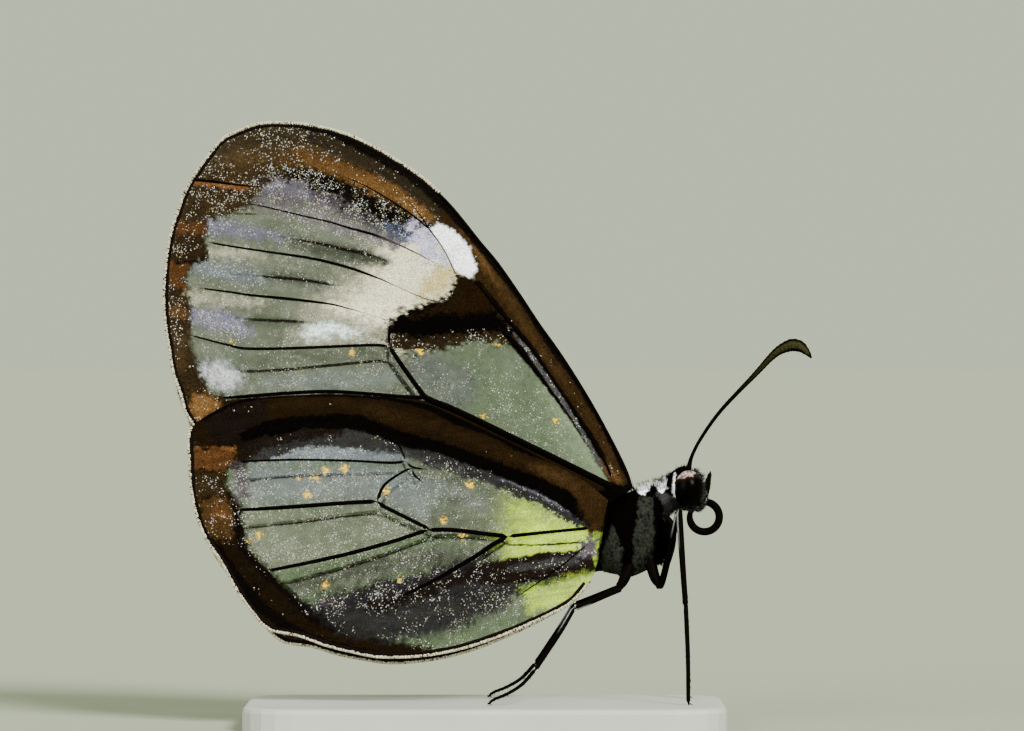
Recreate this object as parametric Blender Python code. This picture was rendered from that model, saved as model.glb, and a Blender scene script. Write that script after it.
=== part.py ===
"""Clearwing butterfly, Pteronymia andreas, life size, standing with its wings closed.

Metres, +Z up. The head points along +X and the right side faces -Y.
The origin is the centre of the base's underside. Sizes below are in millimetres.
"""

import math

import bmesh
import bpy
import numpy as np
from mathutils import Vector
from mathutils.geometry import delaunay_2d_cdt

MM = 0.001
GAP = 0.3  # kept between neighbouring solids

# Base
BASE_SIZE = (24.0, 13.0, 1.2)
BASE_ROUND = 2.5
BASE_EDGE = 0.25
FOOT_Z = BASE_SIZE[2] + GAP  # level of the feet's flats

# Wings. Outlines and veins are (along, up) from the wing's hinge.
WING_THICK = 0.5
VEIN_RISE = 0.12
VEIN_HALF = 0.32
EDGE_RISE = 0.1
MESH_STEP = 1.15
FOREWING_HINGE = (6.85, 10.1 + FOOT_Z)
HINDWING_HINGE = (5.75, 8.1 + FOOT_Z)
FOREWING_LAYER = (0.57, 0.45, 2.2)  # distance from mid plane, extra at the hinge, its reach
HINDWING_LAYER = (1.62, -0.3, 1.5)
LEFT_TURN = math.radians(3.0)  # the left pair is carried a little lower
LEFT_SCALE = {"fore": 0.975, "hind": 0.985}

FOREWING = [
    (0.6, 0.5), (-0.3, 2.5), (-2.8, 6.8), (-5.6, 11.0), (-7.7, 13.5), (-10.2, 16.1),
    (-12.9, 17.7), (-15.6, 18.6), (-17.9, 18.7), (-19.3, 18.2), (-20.9, 16.9), (-21.9, 15.2),
    (-22.6, 13.2), (-23.0, 10.8), (-23.0, 8.8), (-22.7, 6.8), (-22.2, 5.1), (-21.2, 3.1),
    (-19.9, 3.2), (-16.6, 3.6), (-12.1, 3.7), (-8.1, 2.8), (-4.6, 1.2), (-1.9, -0.2),
    (-0.5, -0.8),
]
FOREWING_VEINS = {
    "radius": [(-0.4, 0.6), (-3.6, 5.4), (-6.9, 9.5), (-8.3, 11.0), (-9.6, 13.2),
               (-11.1, 14.4), (-14.1, 15.8), (-16.6, 16.8)],
    "cubitus": [(-0.7, 0.4), (-4.1, 2.2), (-9.6, 4.8), (-10.6, 5.9), (-11.7, 7.5),
                (-15.1, 7.4), (-19.5, 7.5), (-22.3, 8.1)],
    "cell_end": [(-8.3, 11.0), (-8.7, 9.9), (-10.1, 9.5), (-11.7, 8.7), (-11.7, 7.5)],
    "first": [(-8.3, 11.0), (-11.1, 12.5), (-16.1, 14.0), (-21.5, 14.8)],
    "second": [(-8.7, 9.9), (-13.0, 11.2), (-18.6, 12.3), (-22.2, 12.9)],
    "third": [(-11.7, 8.7), (-15.6, 9.7), (-22.5, 10.6)],
    "fifth": [(-9.7, 4.9), (-14.6, 5.2), (-21.5, 4.7)],
    "anal": [(-1.5, 0.3), (-4.6, 1.75), (-8.1, 3.2), (-11.1, 4.05), (-15.1, 4.3),
             (-20.2, 3.9)],
}
HINDWING = [
    (0.0, 0.9), (-1.0, 2.0), (-2.8, 3.2), (-7.5, 5.6), (-10.0, 6.7), (-13.0, 7.1),
    (-15.8, 7.0), (-18.0, 6.8), (-19.6, 6.1), (-20.5, 5.2), (-20.6, 3.2), (-20.2, 1.4),
    (-19.4, -0.7), (-18.2, -2.6), (-16.9, -4.4), (-15.5, -5.0), (-13.8, -5.5),
    (-11.8, -6.0), (-9.5, -6.1), (-7.0, -5.8), (-4.5, -4.9), (-2.2, -3.7), (-0.8, -2.2),
    (-0.2, -1.4),
]
HINDWING_VEINS = {
    "costa": [(-0.6, 1.0), (-5.0, 3.7), (-11.0, 5.8), (-15.0, 6.2), (-19.7, 5.1)],
    "sector": [(-0.5, 0.5), (-5.0, 2.8), (-10.0, 4.5), (-13.0, 5.2), (-20.0, 4.2)],
    "first": [(-10.0, 4.5), (-9.7, 3.7), (-13.5, 3.8), (-20.2, 3.4)],
    "cell_end": [(-9.7, 3.7), (-11.2, 1.7), (-8.5, 0.3)],
    "second": [(-11.2, 1.7), (-15.0, 1.5), (-19.8, 1.1)],
    "cubitus": [(-0.4, 0.4), (-4.6, -0.1), (-8.5, 0.3), (-12.5, -0.9), (-18.2, -2.1)],
    "fourth": [(-4.6, -0.1), (-7.9, -2.0), (-12.8, -4.1), (-15.0, -4.6)],
    "anal": [(-0.4, -0.2), (-3.2, -2.6), (-7.2, -4.9), (-8.4, -5.6)],
}

# Body, one form from the tail to the face: along, up from the feet, half width, half depth.
ABDOMEN = [
    (-5.6, 4.25, 0.2, 0.25), (-5.0, 4.42, 0.45, 0.55), (-4.2, 4.68, 0.6, 0.75),
    (-2.75, 5.1, 0.75, 0.95), (-0.75, 5.55, 0.7, 0.88), (1.75, 5.92, 0.6, 0.72),
    (4.0, 6.3, 0.5, 0.58), (5.35, 6.7, 0.5, 0.6),
]
THORAX = [
    (5.6, 6.85, 0.6, 0.75), (6.0, 7.1, 1.0, 1.3), (6.6, 7.45, 1.3, 1.85),
    (7.3, 8.2, 1.45, 2.1), (7.95, 9.05, 1.35, 1.65), (8.55, 9.7, 0.95, 1.05),
    (9.02, 9.93, 0.5, 0.6),
]
HEAD = [
    (9.32, 10.12, 0.5, 0.6), (9.6, 10.3, 0.85, 0.95), (10.0, 10.4, 0.95, 1.16),
    (10.4, 10.41, 0.9, 1.12), (10.75, 10.43, 0.6, 0.8), (10.9, 10.45, 0.3, 0.4),
]

# Eyes: flat inside, domed outside.
EYE_CENTRE = (10.2, 10.4 + FOOT_Z)
EYE_HALF = (0.7, 0.62, 0.93)
EYE_INSIDE = 0.66

# Feelers and mouthparts: along, out from the mid plane, up from the feet, radius.
ANTENNA = [
    (10.15, 0.4, 11.1, 0.25), (10.25, 0.55, 11.75, 0.25), (10.75, 0.8, 12.85, 0.25),
    (11.55, 1.15, 14.0, 0.25), (12.75, 1.65, 15.4, 0.25), (13.75, 2.1, 16.45, 0.26),
    (14.55, 2.5, 17.3, 0.3), (15.1, 2.8, 17.65, 0.36), (15.6, 3.05, 17.62, 0.34),
    (16.0, 3.2, 17.3, 0.22), (16.2, 3.28, 16.95, 0.08),
]
PALP = [
    (10.6, 0.62, 9.8, 0.25), (11.1, 0.62, 9.95, 0.25), (11.38, 0.58, 10.45, 0.26),
    (11.42, 0.52, 10.95, 0.2), (11.36, 0.5, 11.25, 0.08),
]
COIL_CENTRE = (11.0, 8.98 + FOOT_Z)
COIL_RADIUS = 0.76
COIL_TUBE = 0.25
COIL_SPAN = (95.0, -192.0)  # degrees, from the mouth round to under the head

# The left limbs reach a little further forward: by LEAN * out * (along - LEAN_START).
LEAN = 0.007
LEAN_START = 1.35

# Legs: along, out from the mid plane, up from the feet, radius. The knee is a sharp bend.
FORELEG = [[(8.3, 0.6, 9.2, 0.25), (9.2, 0.9, 8.85, 0.25), (9.5, 0.95, 8.0, 0.25),
            (9.35, 0.95, 6.9, 0.22)]]
MIDLEG = [
    [(8.2, 0.6, 6.9, 0.3), (8.75, 1.15, 5.7, 0.3)],
    [(8.75, 1.15, 5.7, 0.3), (9.65, 2.45, 9.35, 0.26)],
    [(9.65, 2.45, 9.35, 0.26), (9.85, 2.75, 6.2, 0.25), (9.95, 2.85, 4.6, 0.25)],
    [(9.95, 2.85, 4.6, 0.25), (10.05, 2.95, 2.4, 0.25), (10.1, 3.0, -0.4, 0.25)],
]
HINDLEG = [
    [(7.3, 0.6, 6.6, 0.3), (6.7, 1.05, 5.35, 0.3)],
    [(6.7, 1.05, 5.35, 0.3), (4.5, 2.65, 4.5, 0.26)],
    [(4.5, 2.65, 4.5, 0.26), (2.5, 2.95, 1.45, 0.25)],
    [(2.5, 2.95, 1.45, 0.25), (1.6, 3.1, 0.5, 0.25), (0.4, 3.2, 0.1, 0.25)],
]


def material(name, colour, roughness):
    """A Principled material of one colour."""
    made = bpy.data.materials.new(name)
    made.use_nodes = True
    shader = made.node_tree.nodes["Principled BSDF"]
    shader.inputs["Base Color"].default_value = (*colour, 1)
    shader.inputs["Roughness"].default_value = roughness
    return made


def add_mesh(name, points, faces, looks=None):
    """An object from points in millimetres, shaded smooth but at its sharp edges."""
    mesh = bpy.data.meshes.new(name)
    mesh.from_pydata([tuple(c * MM for c in p) for p in points], [], faces)
    bm = bmesh.new()
    bm.from_mesh(mesh)
    bmesh.ops.recalc_face_normals(bm, faces=bm.faces)
    bm.to_mesh(mesh)
    bm.free()
    mesh.shade_smooth()
    mesh.set_sharp_from_angle(angle=math.radians(50))
    if looks:
        mesh.materials.append(looks)
    made = bpy.data.objects.new(name, mesh)
    PARTS.objects.link(made)
    return made


def smooth(rows, step, closed=False):
    """Rows about step apart on the Catmull-Rom curve through the given rows."""
    rows = np.array(rows, float)
    count = len(rows)
    out = []
    for i in range(count if closed else count - 1):
        if closed:
            a, b, c, d = (rows[(i + k) % count] for k in (-1, 0, 1, 2))
        else:
            a, b, c, d = (rows[min(max(i + k, 0), count - 1)] for k in (-1, 0, 1, 2))
        parts = max(1, round(np.linalg.norm((c - b)[:3]) / step))
        for t in np.arange(parts) / parts:
            out.append(0.5 * (2 * b + (c - a) * t + (2 * a - 5 * b + 4 * c - d) * t**2
                              + (3 * b - a - 3 * c + d) * t**3))
    if not closed:
        out.append(rows[-1])
    return np.array(out)


def rings_to_faces(rings, sides):
    """Quads between neighbouring rings, with a face over each end."""
    faces = [tuple(range(sides))[::-1]]
    for i in range(rings - 1):
        for j in range(sides):
            k = (j + 1) % sides
            faces.append((i * sides + j, i * sides + k, (i + 1) * sides + k,
                          (i + 1) * sides + j))
    faces.append(tuple(range((rings - 1) * sides, rings * sides)))
    return faces


def body_form(name, stations, step, sides, looks=None, grow=0.0):
    """A form along a path in the mid plane, oval across it. grow makes it larger all round."""
    rows = smooth(stations, step)
    path = rows[:, :2] + (0, FOOT_Z)
    tangent = np.gradient(path, axis=0)
    tangent /= np.linalg.norm(tangent, axis=1)[:, None]
    if grow:
        path[0] -= tangent[0] * grow
        path[-1] += tangent[-1] * grow
    points = []
    for (x, z), (tx, tz), (wide, deep) in zip(path, tangent, rows[:, 2:]):
        for j in range(sides):
            turn = math.tau * j / sides
            out = (wide + grow) * math.sin(turn)
            up = (deep + grow) * math.cos(turn)
            points.append((x - tz * up, out, z + tx * up))
    return add_mesh(name, points, rings_to_faces(len(rows), sides), looks)


def placed_on(side, rows):
    """Points of a limb on the given side, from rows of along, out and up."""
    rows = np.array(rows, float)
    ahead = LEAN * rows[..., 1] * (rows[..., 0] - LEAN_START) * (side > 0)
    return np.stack([rows[..., 0] + ahead, side * rows[..., 1], rows[..., 2] + FOOT_Z], axis=-1)


def limb(name, stations, side, step=0.5, sides=8, looks=None):
    """A round limb through stations of along, out, up and radius, on the given side."""
    rows = smooth(stations, step)
    centre = placed_on(side, rows[:, :3])
    tangent = np.gradient(centre, axis=0)
    points = []
    across = Vector((0, 1, 0))
    for middle, along, radius in zip(centre, tangent, rows[:, 3]):
        along = Vector(along).normalized()
        across = (across - along * across.dot(along)).normalized()
        up = along.cross(across)
        for j in range(sides):
            turn = math.tau * (j + 0.5) / sides
            points.append(Vector(middle) + (across * math.cos(turn) + up * math.sin(turn)) * radius)
    return add_mesh(name, points, rings_to_faces(len(rows), sides), looks)


def ball(name, centre, radius):
    """A small ball at a bend."""
    bm = bmesh.new()
    bmesh.ops.create_icosphere(bm, subdivisions=2, radius=radius * MM)
    bmesh.ops.translate(bm, verts=bm.verts, vec=Vector(centre) * MM)
    mesh = bpy.data.meshes.new(name)
    bm.to_mesh(mesh)
    bm.free()
    made = bpy.data.objects.new(name, mesh)
    PARTS.objects.link(made)
    return made


def largest_surface(obj):
    """Keeps the largest closed surface of a mesh."""
    bm = bmesh.new()
    bm.from_mesh(obj.data)
    left = set(bm.verts)
    groups = []
    while left:
        edge = [left.pop()]
        group = set(edge)
        while edge:
            for e in edge.pop().link_edges:
                for v in e.verts:
                    if v in left:
                        left.remove(v)
                        group.add(v)
                        edge.append(v)
        groups.append(group)
    groups.sort(key=len)
    for group in groups[:-1]:
        bmesh.ops.delete(bm, geom=list(group), context="VERTS")
    bmesh.ops.triangulate(bm, faces=bm.faces)
    bm.to_mesh(obj.data)
    bm.free()


def boolean(obj, operation, others, solver="EXACT"):
    """Applies one Boolean of a collection of closed meshes, which are then removed."""
    group = bpy.data.collections.new(obj.name + "_with")
    for other in others:
        group.objects.link(other)
    step = obj.modifiers.new(operation.lower(), "BOOLEAN")
    step.operation = operation
    step.operand_type = "COLLECTION"
    step.collection = group
    step.solver = solver
    done = bpy.data.meshes.new_from_object(obj.evaluated_get(bpy.context.evaluated_depsgraph_get()))
    obj.modifiers.clear()
    old = obj.data
    obj.data = done
    bpy.data.meshes.remove(old)
    for other in others:
        bpy.data.objects.remove(other)
    bpy.data.collections.remove(group)
    largest_surface(obj)


def cut_level(obj, level):
    """Cuts what is below a level away and leaves a flat there."""
    bm = bmesh.new()
    bm.from_mesh(obj.data)
    geometry = list(bm.verts) + list(bm.edges) + list(bm.faces)
    bmesh.ops.bisect_plane(bm, geom=geometry, dist=1e-7, plane_co=(0, 0, level * MM),
                           plane_no=(0, 0, 1), clear_inner=True)
    bmesh.ops.holes_fill(bm, edges=[e for e in bm.edges if e.is_boundary])
    bmesh.ops.triangulate(bm, faces=bm.faces)
    bm.to_mesh(obj.data)
    bm.free()


def inside(point, outline):
    """True where a point lies in a closed outline."""
    x, y = point
    x0, y0 = outline.T
    x1, y1 = np.roll(outline, -1, axis=0).T
    with np.errstate(divide="ignore", invalid="ignore"):
        crossing = (y0 > y) != (y1 > y)
        at = x0 + (y - y0) * (x1 - x0) / (y1 - y0)
    return np.count_nonzero(crossing & (x < at)) % 2 == 1


def distance(points, line):
    """Each point's distance to a polyline."""
    a, b = line[:-1], line[1:]
    span = b - a
    t = ((points[:, None] - a) * span).sum(2) / (span**2).sum(1)
    near = a + np.clip(t, 0, 1)[..., None] * span
    return np.linalg.norm(points[:, None] - near, axis=2).min(1)


def wing(name, outline, veins, hinge, layer, side, looks, scale=1.0, turn=0.0):
    """A wing slab whose two faces share one triangulation, with its veins raised in both.

    Across, a vein is a ridge of height rise * (1 - distance / half width).
    """
    rim = smooth(outline, MESH_STEP, closed=True)
    lines = [smooth(v, MESH_STEP) for v in veins.values()]
    points = [tuple(p) for p in rim]
    edges = []
    for line in lines:
        along = np.gradient(line, axis=0)
        along /= np.linalg.norm(along, axis=1)[:, None]
        normal = np.stack([-along[:, 1], along[:, 0]], axis=1)
        for shift in (-VEIN_HALF, 0, VEIN_HALF):
            row = line + normal * shift
            kept = [inside(p, rim) for p in row]
            first = len(points)
            points += [tuple(p) for p, k in zip(row, kept) if k]
            edges += [(i, i + 1) for i in range(first, len(points) - 1)]
    placed = np.array(points)
    low, high = rim.min(0), rim.max(0)
    for x in np.arange(low[0], high[0], 2 * MESH_STEP):
        for y in np.arange(low[1], high[1], 2 * MESH_STEP):
            clear = np.linalg.norm(placed - (x, y), axis=1).min() > 0.9 * MESH_STEP
            if clear and inside((x, y), rim):
                points.append((x, y))
    flat, _, faces = delaunay_2d_cdt(
        [Vector(p) for p in points], edges, [list(range(len(rim)))], 1, 0.04)[:3]
    flat = np.array([tuple(p) for p in flat])
    rise = np.zeros(len(flat))
    for line in lines:
        rise = np.maximum(rise, VEIN_RISE * (1 - distance(flat, line) / VEIN_HALF))
    edge_gap = distance(flat, np.vstack([rim, rim[:1]]))
    rise = np.maximum(rise, EDGE_RISE * (edge_gap < 0.1))
    reach = np.linalg.norm(flat, axis=1)
    far, extra, size = layer
    middle = side * (far + extra * np.exp(-(reach / size) ** 2))
    half = WING_THICK / 2 + rise
    c, s = math.cos(turn) * scale, math.sin(turn) * scale
    x = hinge[0] + flat[:, 0] * c - flat[:, 1] * s
    z = hinge[1] + flat[:, 0] * s + flat[:, 1] * c
    count = len(flat)
    near = np.stack([x, middle - half, z], axis=1)
    back = np.stack([x, middle + half, z], axis=1)
    tris = [tuple(f) for f in faces]
    used = {(f[i], f[(i + 1) % 3]) for f in tris for i in range(3)}
    sides = [(a, b) for a, b in used if (b, a) not in used]
    solid = tris + [tuple(i + count for i in f[::-1]) for f in tris]
    for a, b in sorted(sides):
        solid += [(b, a, a + count), (b, a + count, b + count)]
    return add_mesh(name, np.vstack([near, back]), solid, looks)


def eye(name, side, looks=None, grow=0.0):
    """A dome on a flat disc that faces the head."""
    bm = bmesh.new()
    bmesh.ops.create_uvsphere(bm, u_segments=20, v_segments=12, radius=1)
    half = [h + grow for h in EYE_HALF]
    for v in bm.verts:
        v.co = (v.co.x * half[0], v.co.z * half[1], v.co.y * half[2])
    geometry = list(bm.verts) + list(bm.edges) + list(bm.faces)
    bmesh.ops.bisect_plane(bm, geom=geometry, dist=1e-5, plane_co=(0, 0, 0),
                           plane_no=(0, side, 0), clear_inner=True)
    bmesh.ops.holes_fill(bm, edges=[e for e in bm.edges if e.is_boundary])
    points = [(EYE_CENTRE[0] + v.co.x, side * (EYE_INSIDE - grow) + v.co.y,
               EYE_CENTRE[1] + v.co.z) for v in bm.verts]
    bm.verts.index_update()
    faces = [tuple(v.index for v in f.verts) for f in bm.faces]
    bm.free()
    return add_mesh(name, points, faces, looks)


def leg(name, pieces, side, looks):
    """A leg of straight lengths with a ball at each bend, cut flat at the foot."""
    made = limb(name, pieces[0], side, 1.2, 10, looks)
    others = []
    for piece in pieces[1:]:
        others.append(limb(name + "_length", piece, side, 1.2, 10))
        others.append(ball(name + "_bend", placed_on(side, piece[0][:3]), piece[0][3] * 1.04))
    if others:
        boolean(made, "UNION", others)
    cut_level(made, FOOT_Z)
    return made


def base(looks):
    """A plain flat plate with round corners and eased edges."""
    bpy.ops.mesh.primitive_cube_add(size=1)
    plate = bpy.context.active_object
    plate.name = "stand_base"
    plate.data.name = "stand_base"
    for v in plate.data.vertices:
        v.co = (v.co.x * BASE_SIZE[0] * MM, v.co.y * BASE_SIZE[1] * MM,
                (v.co.z + 0.5) * BASE_SIZE[2] * MM)
    bm = bmesh.new()
    bm.from_mesh(plate.data)
    corners = [e for e in bm.edges if abs(e.verts[0].co.z - e.verts[1].co.z) > 0.5 * MM]
    bmesh.ops.bevel(bm, geom=corners, offset=BASE_ROUND * MM, segments=5, profile=0.5,
                    affect="EDGES")
    top = [e for e in bm.edges if all(v.co.z > BASE_SIZE[2] * MM * 0.99 for v in e.verts)]
    bmesh.ops.bevel(bm, geom=top, offset=BASE_EDGE * MM, segments=2, profile=0.5,
                    affect="EDGES")
    bm.to_mesh(plate.data)
    bm.free()
    plate.data.materials.append(looks)
    for old in plate.users_collection:
        old.objects.unlink(plate)
    PARTS.objects.link(plate)
    return plate


for old in list(bpy.data.objects):
    bpy.data.objects.remove(old)
PARTS = bpy.data.collections.new("clearwing_butterfly")
bpy.context.scene.collection.children.link(PARTS)

body_black = material("body", (0.02, 0.02, 0.018), 0.6)
eye_black = material("eye", (0.012, 0.01, 0.009), 0.2)
limb_black = material("limb", (0.015, 0.013, 0.011), 0.5)
clear_wing = material("wing", (0.36, 0.34, 0.27), 0.4)
base_grey = material("base", (0.55, 0.54, 0.5), 0.6)

body_form("abdomen", ABDOMEN, 0.9, 14, body_black)
thorax = body_form("thorax", THORAX, 0.4, 20, body_black)
head = body_form("head", HEAD, 0.25, 20, body_black)
for word, side in (("right", -1), ("left", 1)):
    eye("eye_" + word, side, eye_black)
    boolean(head, "DIFFERENCE", [eye("socket", side, grow=GAP)])

for word, side in (("right", -1), ("left", 1)):
    near = word == "right"
    turn = 0.0 if near else LEFT_TURN
    for pair, outline, veins, hinge, layer in (
        ("fore", FOREWING, FOREWING_VEINS, FOREWING_HINGE, FOREWING_LAYER),
        ("hind", HINDWING, HINDWING_VEINS, HINDWING_HINGE, HINDWING_LAYER),
    ):
        made = wing(f"{pair}wing_{word}", outline, veins, hinge, layer, side, clear_wing,
                    1.0 if near else LEFT_SCALE[pair], turn)
        boolean(made, "DIFFERENCE", [body_form("root", THORAX, 0.4, 20, grow=GAP)])

    for part, pieces in (("foreleg", FORELEG), ("midleg", MIDLEG), ("hindleg", HINDLEG)):
        made = leg(f"{part}_{word}", pieces, side, limb_black)
        boolean(made, "DIFFERENCE", [body_form("hip", THORAX, 0.4, 20, grow=GAP)])

    antenna = limb("antenna_" + word, ANTENNA, side, 0.6, 8, limb_black)
    palp = limb("palp_" + word, PALP, side, 0.3, 8, limb_black)
    for made in (antenna, palp):
        boolean(made, "DIFFERENCE", [body_form("face", HEAD, 0.25, 20, grow=GAP)])

coil = []
for k in range(25):
    turn = math.radians(COIL_SPAN[0] + (COIL_SPAN[1] - COIL_SPAN[0]) * k / 24)
    coil.append((COIL_CENTRE[0] + COIL_RADIUS * math.cos(turn), 0.0,
                 COIL_CENTRE[1] - FOOT_Z + COIL_RADIUS * math.sin(turn), COIL_TUBE))
proboscis = limb("proboscis", coil, 1, 0.5, 8, limb_black)
boolean(proboscis, "DIFFERENCE", [body_form("face", HEAD, 0.25, 20, grow=GAP)])
base(base_grey)
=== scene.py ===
"""A clearwing butterfly, life size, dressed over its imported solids.

The drawings below are charts in twentieths of a millimetre: x runs towards the head with 485 over
the middle of the base, y runs down with 697 at the soles of the feet. Other lengths are in
millimetres, apart from the settings, and new_piece scales a mesh to metres.
"""

import math

import bpy
import numpy as np
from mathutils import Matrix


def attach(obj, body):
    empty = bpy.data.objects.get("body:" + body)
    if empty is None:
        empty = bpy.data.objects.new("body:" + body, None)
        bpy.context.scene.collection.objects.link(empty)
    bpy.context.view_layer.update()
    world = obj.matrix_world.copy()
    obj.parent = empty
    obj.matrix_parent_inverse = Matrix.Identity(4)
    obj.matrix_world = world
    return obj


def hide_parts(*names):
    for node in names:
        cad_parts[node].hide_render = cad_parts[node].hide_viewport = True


bl_info = {
    "name": "Clearwing Butterfly",
    "version": (1, 0, 0),
    "blender": (4, 5, 0),
    "location": "3D View > Sidebar > Clearwing",
    "description": "Builds the wings, body, limbs and stage of a clearwing butterfly",
    "category": "Add Mesh",
}

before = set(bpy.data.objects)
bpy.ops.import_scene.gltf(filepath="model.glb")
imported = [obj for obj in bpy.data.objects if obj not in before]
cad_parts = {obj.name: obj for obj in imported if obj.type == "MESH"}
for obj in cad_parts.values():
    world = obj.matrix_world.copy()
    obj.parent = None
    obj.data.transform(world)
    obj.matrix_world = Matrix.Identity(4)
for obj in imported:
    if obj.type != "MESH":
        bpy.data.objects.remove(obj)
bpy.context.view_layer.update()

MM = 0.001
CHART_STEP = 0.05
CHART_X = 485.0
CHART_Y = 697.0
SOLE = 1.5
PICTURE = (1024, 731)
SENSOR = 36.0
RIGHT, LEFT = -1, 1

# A wing's hinge, along and up, and its place out from the mid plane: how far out it lies, what
# is added at the hinge, and how far the addition reaches.
HINGE = {"fore": (6.85, 10.1 + SOLE), "hind": (5.75, 8.1 + SOLE)}
LAYER = {"fore": (0.57, 0.45, 2.2), "hind": (1.62, -0.3, 1.5)}
LEFT_TURN = math.radians(3.0)
LEFT_SCALE = {"fore": 0.975, "hind": 0.985}
# How far the left limbs reach forward for each millimetre out and along, and from where on.
LEAN = 0.007
LEAN_START = 1.35
# A membrane's rings along the wing, then its points across the outer and the inner face.
SHEET_GRID = {"fore": (330, 228, 72), "hind": (300, 240, 80)}
# A fringe's seed, its number of scales and a chart point in the middle of the wing.
FRINGE = {"fore": (17, 5600, (400.0, 330.0)), "hind": (18, 4800, (400.0, 520.0))}
FRINGE_BEAD = 0.095
FRINGE_REACH = 0.9
VEIN_SIDES = 10
CURVE_STEPS = 900
SKIN_RINGS, SKIN_SIDES = 430, 110
LIMB_SIDES = 16
FEELER_RINGS, FEELER_JOINTS = 360, 44
PALP_RINGS = 60
PALP_HAIRS = 700
TONGUE_RINGS = 220
LEG_RINGS = 70
CLAW_FLOOR = 1.24
# Layers of flecks: turn, cells in a metre, stretch, size in a cell, share of the dust.
FLECK_LAYERS = (
    (0.5, 6200, 3.2, 0.36, 0.34), (-0.6, 5600, 3.2, 0.36, 0.34), (1.4, 6600, 2.8, 0.36, 0.34),
    (-1.1, 7000, 2.4, 0.36, 0.34), (0.2, 8600, 1.4, 0.38, 0.4), (1.9, 7600, 2.2, 0.36, 0.34),
)
WHITE_FLECK, YELLOW_FLECK = (0.92, 0.92, 0.9, 1), (0.72, 0.65, 0.3, 1)
YELLOW_SHARE = 0.28
# Lamps: name, where the light comes from, strength and the lamp's width in degrees.
LAMPS = (("key", (0.45, -0.75, 0.6), 6.66, 18), ("fill", (-0.7, -0.6, 0.35), 2.06, 40))
FLOOR_SIZE = 20000.0

# A wing's leading edge and its trailing edge, each from the base to the apex.
EDGES = {
    "fore": (
        [
            (633, 488), (629, 474), (620, 454), (600, 416), (580, 382), (560, 351), (540, 323),
            (519.5, 292), (498.5, 262), (481, 241), (450, 203), (419, 175), (383, 152), (347, 134),
            (311, 124.8), (283, 122), (258, 123.5), (237, 131.5), (220, 141.5), (205, 161),
        ],
        [
            (609, 506), (570, 492), (520, 467), (430, 430), (340, 422), (260, 427), (205, 437),
            (193.5, 425), (185.5, 412), (180.5, 393), (173, 372), (169.5, 350), (166, 330),
            (163.5, 300), (166, 260), (171.5, 230), (178, 210), (185.5, 190), (191.5, 180),
            (199, 169),
        ],
    ),
    "hind": (
        [
            (608, 500), (580, 478), (540, 457), (500, 437), (460, 418), (430, 405), (400, 399),
            (380, 396.5), (340, 394.5), (300, 395), (260, 397.5), (242, 399.5), (220, 408.5),
            (201, 419.5), (194.5, 425), (191.5, 430), (190, 437),
        ],
        [
            (598, 560), (590, 580), (570, 602), (540, 618), (500, 635), (460, 648), (420, 655),
            (380, 656), (348, 650), (325, 644), (300, 635), (270.5, 628), (253, 610), (237, 587),
            (222.5, 561), (207.5, 538), (198.5, 517), (192.5, 490), (190.5, 460), (189.5, 447),
        ],
    ),
}


def colour_setting(name, description, default):
    """A colour of the settings, with its starting value."""
    return bpy.props.FloatVectorProperty(
        name=name, description=description, subtype="COLOR", min=0.0, max=1.0, default=default)


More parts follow.
